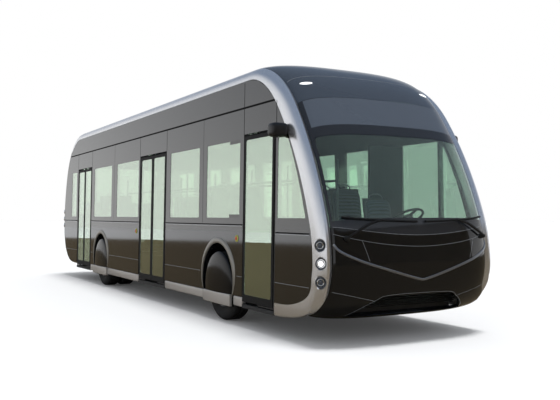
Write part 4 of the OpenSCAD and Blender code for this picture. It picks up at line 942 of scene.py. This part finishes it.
def bar(x0, x1, z0, z1, inner, outer, radius):
    """Bar along X with a rounded outer face: its section is carried from end to end and drawn in at both ends."""
    t = np.radians(np.linspace(0, 90, 7))
    y = np.concatenate([[inner], outer - radius + radius*np.sin(t), outer - radius + radius*np.cos(t), [inner]])
    z = np.concatenate([[z0], z0 + radius - radius*np.cos(t), z1 - radius + radius*np.sin(t), [z1]])
    x = np.array([x0, x0, x0 + .3*radius, x0 + radius, x1 - radius, x1 - .3*radius, x1, x1])
    drawn = np.array([radius, radius, .3*radius, 0, 0, .3*radius, radius, radius])[:, None]
    yy = np.where(y > outer - radius, y - drawn*(y - inner)/(outer - inner), y)
    return tube(np.stack([np.broadcast_to(x[:, None], yy.shape), yy, np.broadcast_to(z, yy.shape)], -1))


skirt_gap = 0.5
rear_gap, front_gap = [(axles[axle] - skirt_gap, axles[axle] + skirt_gap) for axle in ("rear", "front")]
right_runs = [(jambs["rear"][1], rear_gap[0]), (rear_gap[1], jambs["mid"][0]),
              (jambs["mid"][1], front_gap[0]), (front_gap[1], jambs["front"][0])]
left_runs = [(jambs["rear"][0], rear_gap[0]), (rear_gap[1], front_gap[0]), (front_gap[1], jambs["front"][1])]
skirts = [bar(a, b, *skirt_z, half - skirt_t, half, skirt_round) for a, b in left_runs]
skirts += [mirrored(bar(a, b, *skirt_z, half - skirt_t, half, skirt_round)) for a, b in right_runs]
piece("silver_skirts", skirts, lower_silver, stands_for=["sill_skirts"])
cover_t, cover_rim, cover_foot, cover_axle = 0.010, 0.026, 0.235, 0.480


def wheel_cover(x, r, tall, bulge):
    """Domed cover on the left: columns run across the wheel, rows from the foot bar up to a round top. It stands
    out from cover_rim to the bulge as (1 - rho^2.4)^(1/2), rho being 1 on its rim."""
    u = np.sin(np.radians(np.linspace(-90, 90, 61)))
    top = cover_axle + tall*np.sqrt(1 - u**2)
    z = cover_foot + (top - cover_foot)*np.linspace(0, 1, 50)[:, None]**0.9
    rho = np.where(z > cover_axle, np.hypot(u, (z - cover_axle)/tall), np.abs(u) + 0*z)
    y = half - cover_rim + (bulge + cover_rim)*np.sqrt(1 - np.clip(rho, 0, 1)**2.4)
    xx = x + r*u + 0*z
    return slab(np.stack([xx, y, z], -1), np.stack([xx, y - cover_t, z], -1))


# Lacquered plastic: black with weaker, softer reflections than the walls.
cover_paint = finish("black_cover_lacquer", "#0c0d0e", "#121315", 6, (0.1, 0.16), 0.004, IOR=1.3)
cover_bulge, bar_z, bar_in, bar_out, bar_round = 0.022, (0.240, 0.400), 0.030, 0.026, 0.012
for axle, r, tall, bar_half in (("front", .455, .482, .440), ("rear", .490, .490, .490)):
    x = axles[axle]
    cover = wheel_cover(x, r, tall, cover_bulge)
    foot_bar = bar(x - bar_half, x + bar_half, *bar_z, half - bar_in, half + bar_out, bar_round)
    for side, change in (("right", mirrored), ("left", lambda part: part)):
        rides = f"knuckle_{side}_body" if axle == "front" else "body"
        stands = [f"spat_{side}"] if axle == "front" else ["rear_spats"]
        piece(f"{axle}_cover_{side}", [change(cover)], cover_paint, rides, stands)
        piece(f"{axle}_cover_foot_{side}", [change(foot_bar)], lower_silver, rides)

# Doors
# Framed glass leaves hung on the pins of arms, which swing on turning posts; all are black. Soft rubber fingers
# run along the closing edges, and short brush strips on arm and leaf close the slot under the header.
# Powder coat: black with hardly any shine.
leaf_black = finish("satin_black_powder_coat", "#0e0f10", "#151617", 3, (0.55, 0.7), 0.02,
                    Specular_IOR_Level=0.25)
dress(leaf_black, *leaf_names)
dress(electrocoat, *[name.replace("leaf", "arm") for name in leaf_names])
leaf_z, leaf_mid, finger_r, finger_half = (0.350, 2.496), 0.022, 0.0035, 0.018
brush_foot, brush_head = {"arm": 2.507, "leaf": 2.500}, 2.5235
brush_out = np.array([-.0075, -.001, -.001, -.0075])
post_clear, arm_clear, end_clear = 0.020, 0.300, 0.004
door_pins = {"front_leaf": (4.821, 4.4155),
             "mid_leaf_a": (-0.141, 0.1685),
             "mid_leaf_b": (1.147, 0.8375),
             "rear_leaf_a": (-4.523, -4.2505),
             "rear_leaf_b": (-3.383, -3.6555)}
meeting = {"front_leaf": (jambs["front"][0] + .010, -1), "mid_leaf_a": (.498, 1), "mid_leaf_b": (.508, -1),
           "rear_leaf_a": (-3.958, 1), "rear_leaf_b": (-3.948, -1)}
for name, (x, way) in meeting.items():
    t = np.radians(np.linspace(-90, 90, 9))
    section = np.stack([way*finger_r*np.cos(t), finger_half*np.sin(t)], 1)
    section = np.concatenate([section, [[0, finger_half], [0, -finger_half]]])
    z = np.array(leaf_z)[:, None]
    points = on_wall(-1)(x + section[:, 0] + 0*z, z + 0*section[:, 0], section[:, 1] - leaf_mid + 0*z)
    piece(f"{name}_finger_rubber", [tube(points)], rubber, name.replace("leaf", "door_leaf"))
    post_x, pin_x = door_pins[name]
    forward = np.sign(pin_x - post_x)
    low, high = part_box(name)
    leaf_end = high[0] - end_clear if forward > 0 else low[0] + end_clear
    brushes = {"arm": (post_x + forward*post_clear, pin_x), "leaf": (pin_x + forward*arm_clear, leaf_end)}
    for part, ends in brushes.items():
        x, z = np.array(ends)[:, None], np.array([brush_foot[part]]*2 + [brush_head]*2)
        points = on_wall(-1)(x + 0*z, z + 0*x, brush_out + 0*x)
        body = name.replace("leaf", f"door_{part}")
        piece(f"{name}_{part}_brush", [tube(points)], rubber, body)

# Camera pods
# Moulded housings for the mirror cameras, each a rounded block, bolted to the front pillars.
pod_middle, pod_half, pod_power = np.array([5.060, 1.345, 2.475]), np.array([.090, .110, .085]), 0.5
# Moulded plastic with a fine grain: black, soft highlights.
pod_plastic = finish("grained_black_plastic", "#0f1011", "#17181a", 2, (0.3, 0.45), 0.05)


def pad(middle, reach, power, rows=17, cols=32):
    """Rounded block about a point: a superellipsoid whose sines and cosines are raised to a power below 1."""
    lat, lon = np.meshgrid(np.linspace(-np.pi/2, np.pi/2, rows), np.arange(cols)*2*np.pi/cols, indexing="ij")

    def soft(v):
        return np.sign(v)*np.abs(v)**power
    ring = soft(np.cos(lat))
    points = np.stack([ring*soft(np.cos(lon)), ring*soft(np.sin(lon)), soft(np.sin(lat))], -1)
    return grid(points*np.asarray(reach) + np.asarray(middle), wrap=True)


piece("mirror_camera_pods", [pad(pod_middle*s, pod_half, pod_power) for s in sides], pod_plastic,
      stands_for=["camera_pods"])

# Wipers
# Two pressed steel arms with rubber blades, parked along the foot of the windscreen.
# Powder-coated steel and rubber: dull black.
wiper_black = finish("matt_wiper_black", "#0b0c0d", "#141516", 2, (0.5, 0.65), 0.02)
# Width, height above the glass and gap under each bar; the pivot's place, radius and height.
blade_bar, lever_bar = (.022, .034, -.010), (.026, .048, -.030)
pivot, pivot_r, pivot_out = (1.00, 1.215), .032, .050
wipers = []
for s in (-1, 1):
    blade = curve([(.06, 1.395), (.45, 1.408), (.80, 1.425), (1.02, 1.445)])*[s, 1]
    lever = curve([pivot, (.86, 1.290), (.70, 1.370), (.56, 1.412)])*[s, 1]
    wipers.append(strip(on_front, blade, *blade_bar))
    wipers.append(strip(on_front, lever, *lever_bar))
    wipers.append(oval_on_front(s*pivot[0], pivot[1], pivot_r, pivot_r, pivot_out))
piece("wiper_set", wipers, wiper_black, stands_for=["wipers"])

# Cab
# Grained moulded dashboard and cab platform, with a leather-rimmed steering wheel on its column.
# Grained moulding: charcoal, no glare.
cab_plastic = finish("grained_cab_plastic", "#191b1e", "#24272b", 3, (0.5, 0.65), 0.1)
# Stitched leather: black, slightly worn.
wheel_leather = finish("black_rim_leather", "#141414", "#1d1c1b", 3, (0.45, 0.6), 0.12)
dress(cab_plastic, "dashboard", "driver_cab")
dress(wheel_leather, "steering_wheel")

# Seats
# Moulded shells on steel pedestals, each with a crowned foam cushion and back covered in woven plush, and a bent
# tube handle on top of the back. The cab's seat is one of the same family.
# Woven pile in two blues: ribs of 24 mm, drawn coarse enough to show, with a soft sheen.
plush, tree = new_tree("woven_plush")
place = add_node(tree, "ShaderNodeTexCoord", {})
weave = add_node(tree, "ShaderNodeTexWave",
                 {"Vector": place.outputs["Object"], "Scale": 1000/24, "Distortion": 1.5})
speck = add_node(tree, "ShaderNodeTexNoise", {"Vector": place.outputs["Object"], "Scale": 1000/5})
mixed = add_node(tree, "ShaderNodeMath",
                 {0: weave.outputs["Fac"], 1: speck.outputs["Fac"]}, operation="MULTIPLY")
tint = blend(tree, mixed.outputs[0], "#262d38", "#56647a")
bump = add_node(tree, "ShaderNodeBump", {"Height": mixed.outputs[0], "Distance": 0.0015})
surface(tree, "ShaderNodeBsdfPrincipled",
        {"Base Color": tint, "Roughness": 0.85, "Sheen Weight": 0.4, "Normal": bump.outputs[0]})
# Moulded plastic: dark grey, half matt.
shell_plastic = finish("moulded_shell_plastic", "#2a2d31", "#34373c", 3, (0.4, 0.55), 0.05)
floor_z, box_top, platform_z, cab_z = 0.310, 1.105, 1.000, 0.600
seat_w, back_h, aisle_y, seat_high, box_seat_high = 0.430, 0.640, 0.330, 0.450, 0.140
mid_x = jambs["mid"][1]
front_x, rear_x = axles["front"], axles["rear"]
# Each bank of seats: foot of the back, right edge, floor under it, seats, width of one, height of the cushion.
banks = [(x, aisle_y, floor_z, 2, seat_w, seat_high)
         for x in (mid_x + .730, mid_x - .070, mid_x - .870, mid_x - 1.670, mid_x - 2.470,
                   rear_x - 1.120, rear_x - 1.870)]
banks += [(x, -aisle_y - 2*seat_w, floor_z, 2, seat_w, seat_high)
          for x in (mid_x + .230, mid_x + .830, rear_x + .680, rear_x + 1.280)]
banks += [(x, s*.875 - .280, box_top, 1, .560, box_seat_high)
          for s in (-1, 1) for x in (front_x - .520, front_x + .080, rear_x - .420, rear_x + .060)]
banks += [(-nose_x + .800, -2*seat_w, platform_z, 4, seat_w, box_seat_high),
          (jambs["front"][1] - .430, .400, cab_z, 1, .460, .470)]
back_tilt, shell_edge, shell_thick, pad_power = np.radians(8), 0.008, 0.014, 0.34
handle_half, handle_rise, handle_r = 0.11, 0.075, 0.009
rake = back_h*np.tan(back_tilt)
side_view = curve([(.425, -.066), (.36, -.078), (.10, -.078), (.035, -.05), (.028, .02),
                   (.02 - .5*rake, .5*back_h), (.016 - rake, back_h - .01)], 6)


def pipe(path, radius, sides_=10):
    """Round tube along a path: circles square to it, both ends closed."""
    path = np.asarray(path, float)
    along = np.gradient(path, axis=0)
    along /= np.linalg.norm(along, axis=1, keepdims=True)
    across = np.cross(along, [1.0, 0.13, 0.07])
    across /= np.linalg.norm(across, axis=1, keepdims=True)
    over = np.cross(along, across)
    a = np.arange(sides_)*2*np.pi/sides_
    return tube(path[:, None] + radius*(np.cos(a)[:, None]*across[:, None] + np.sin(a)[:, None]*over[:, None]))


def seat(x, y, z, w, h):
    """One seat whose back's foot is at x, middle at y and cushion top at z + h: shell, two pads, handle."""
    normal = np.gradient(side_view, axis=0)
    normal = np.stack([-normal[:, 1], normal[:, 0]], 1)/np.linalg.norm(normal, axis=1, keepdims=True)
    wide = w/2 - shell_edge
    edge = np.array([[-wide, 0], [wide, 0], [wide, -shell_thick], [-wide, -shell_thick]])
    shell = np.stack([x + side_view[:, None, 0] + normal[:, None, 0]*edge[:, 1],
                      np.broadcast_to(y + edge[:, 0], (len(side_view), 4)),
                      z + h + side_view[:, None, 1] + normal[:, None, 1]*edge[:, 1]], -1)
    cushion = pad([x + .250, y, z + h - .036], [.180, wide - .012, .046], pad_power)
    back, faces = pad([0, 0, 0], [.034, wide - .014, .290], pad_power)
    tilt_cos, tilt_sin = np.cos(back_tilt), np.sin(back_tilt)
    back = np.stack([back[:, 0]*tilt_cos - back[:, 2]*tilt_sin, back[:, 1],
                     back[:, 0]*tilt_sin + back[:, 2]*tilt_cos], 1)
    back = back + np.array([x + .058 - .5*rake, y, z + h + .5*back_h])
    arch = np.linspace(0, np.pi, 15)
    handle = np.stack([np.full(15, x + .03 - rake), y + handle_half*np.cos(arch),
                       z + h + back_h - .02 + handle_rise*np.sin(arch)**.6], -1)
    return tube(shell), cushion, (back, faces), pipe(handle, handle_r)


shells, pads, back_pads, handles = zip(*[seat(x, y + (i + .5)*w, z, w, h)
                                         for x, y, z, n, w, h in banks for i in range(n)])
pedestals = []
for x, y, z, n, w, h in banks:
    post = np.array([[.12, .07], [.32, .07], [.32, n*w - .07], [.12, n*w - .07]])
    levels = np.array([z + .001, z + .02, z + .03, z + h - .082])[:, None, None]
    flare = np.array([1.1, 1.1, 1.0, 1.0])[:, None, None]
    plan = post.mean(0) + (post - post.mean(0))*flare + [x, y]
    pedestals.append(tube(np.concatenate([plan, np.broadcast_to(levels, (4, 4, 1))], -1)))
piece("seat_shells", list(shells) + pedestals, shell_plastic, stands_for=["seats"])
cushions = piece("seat_cushions", pads, plush, stands_for=["seats"])
backs = piece("seat_back_pads", back_pads, plush)
# Powder-coated tube: graphite with a satin line of light.
pole_coat = finish("satin_graphite_powder_coat", "#4a4d51", "#55585c", 3, (0.3, 0.42), 0.02, Metallic=0.3)
piece("seat_handles", handles, pole_coat)

# Grab poles
# Powder-coated steel tubes from floor to handrail and along the ceiling.
dress(pole_coat, "grab_poles")
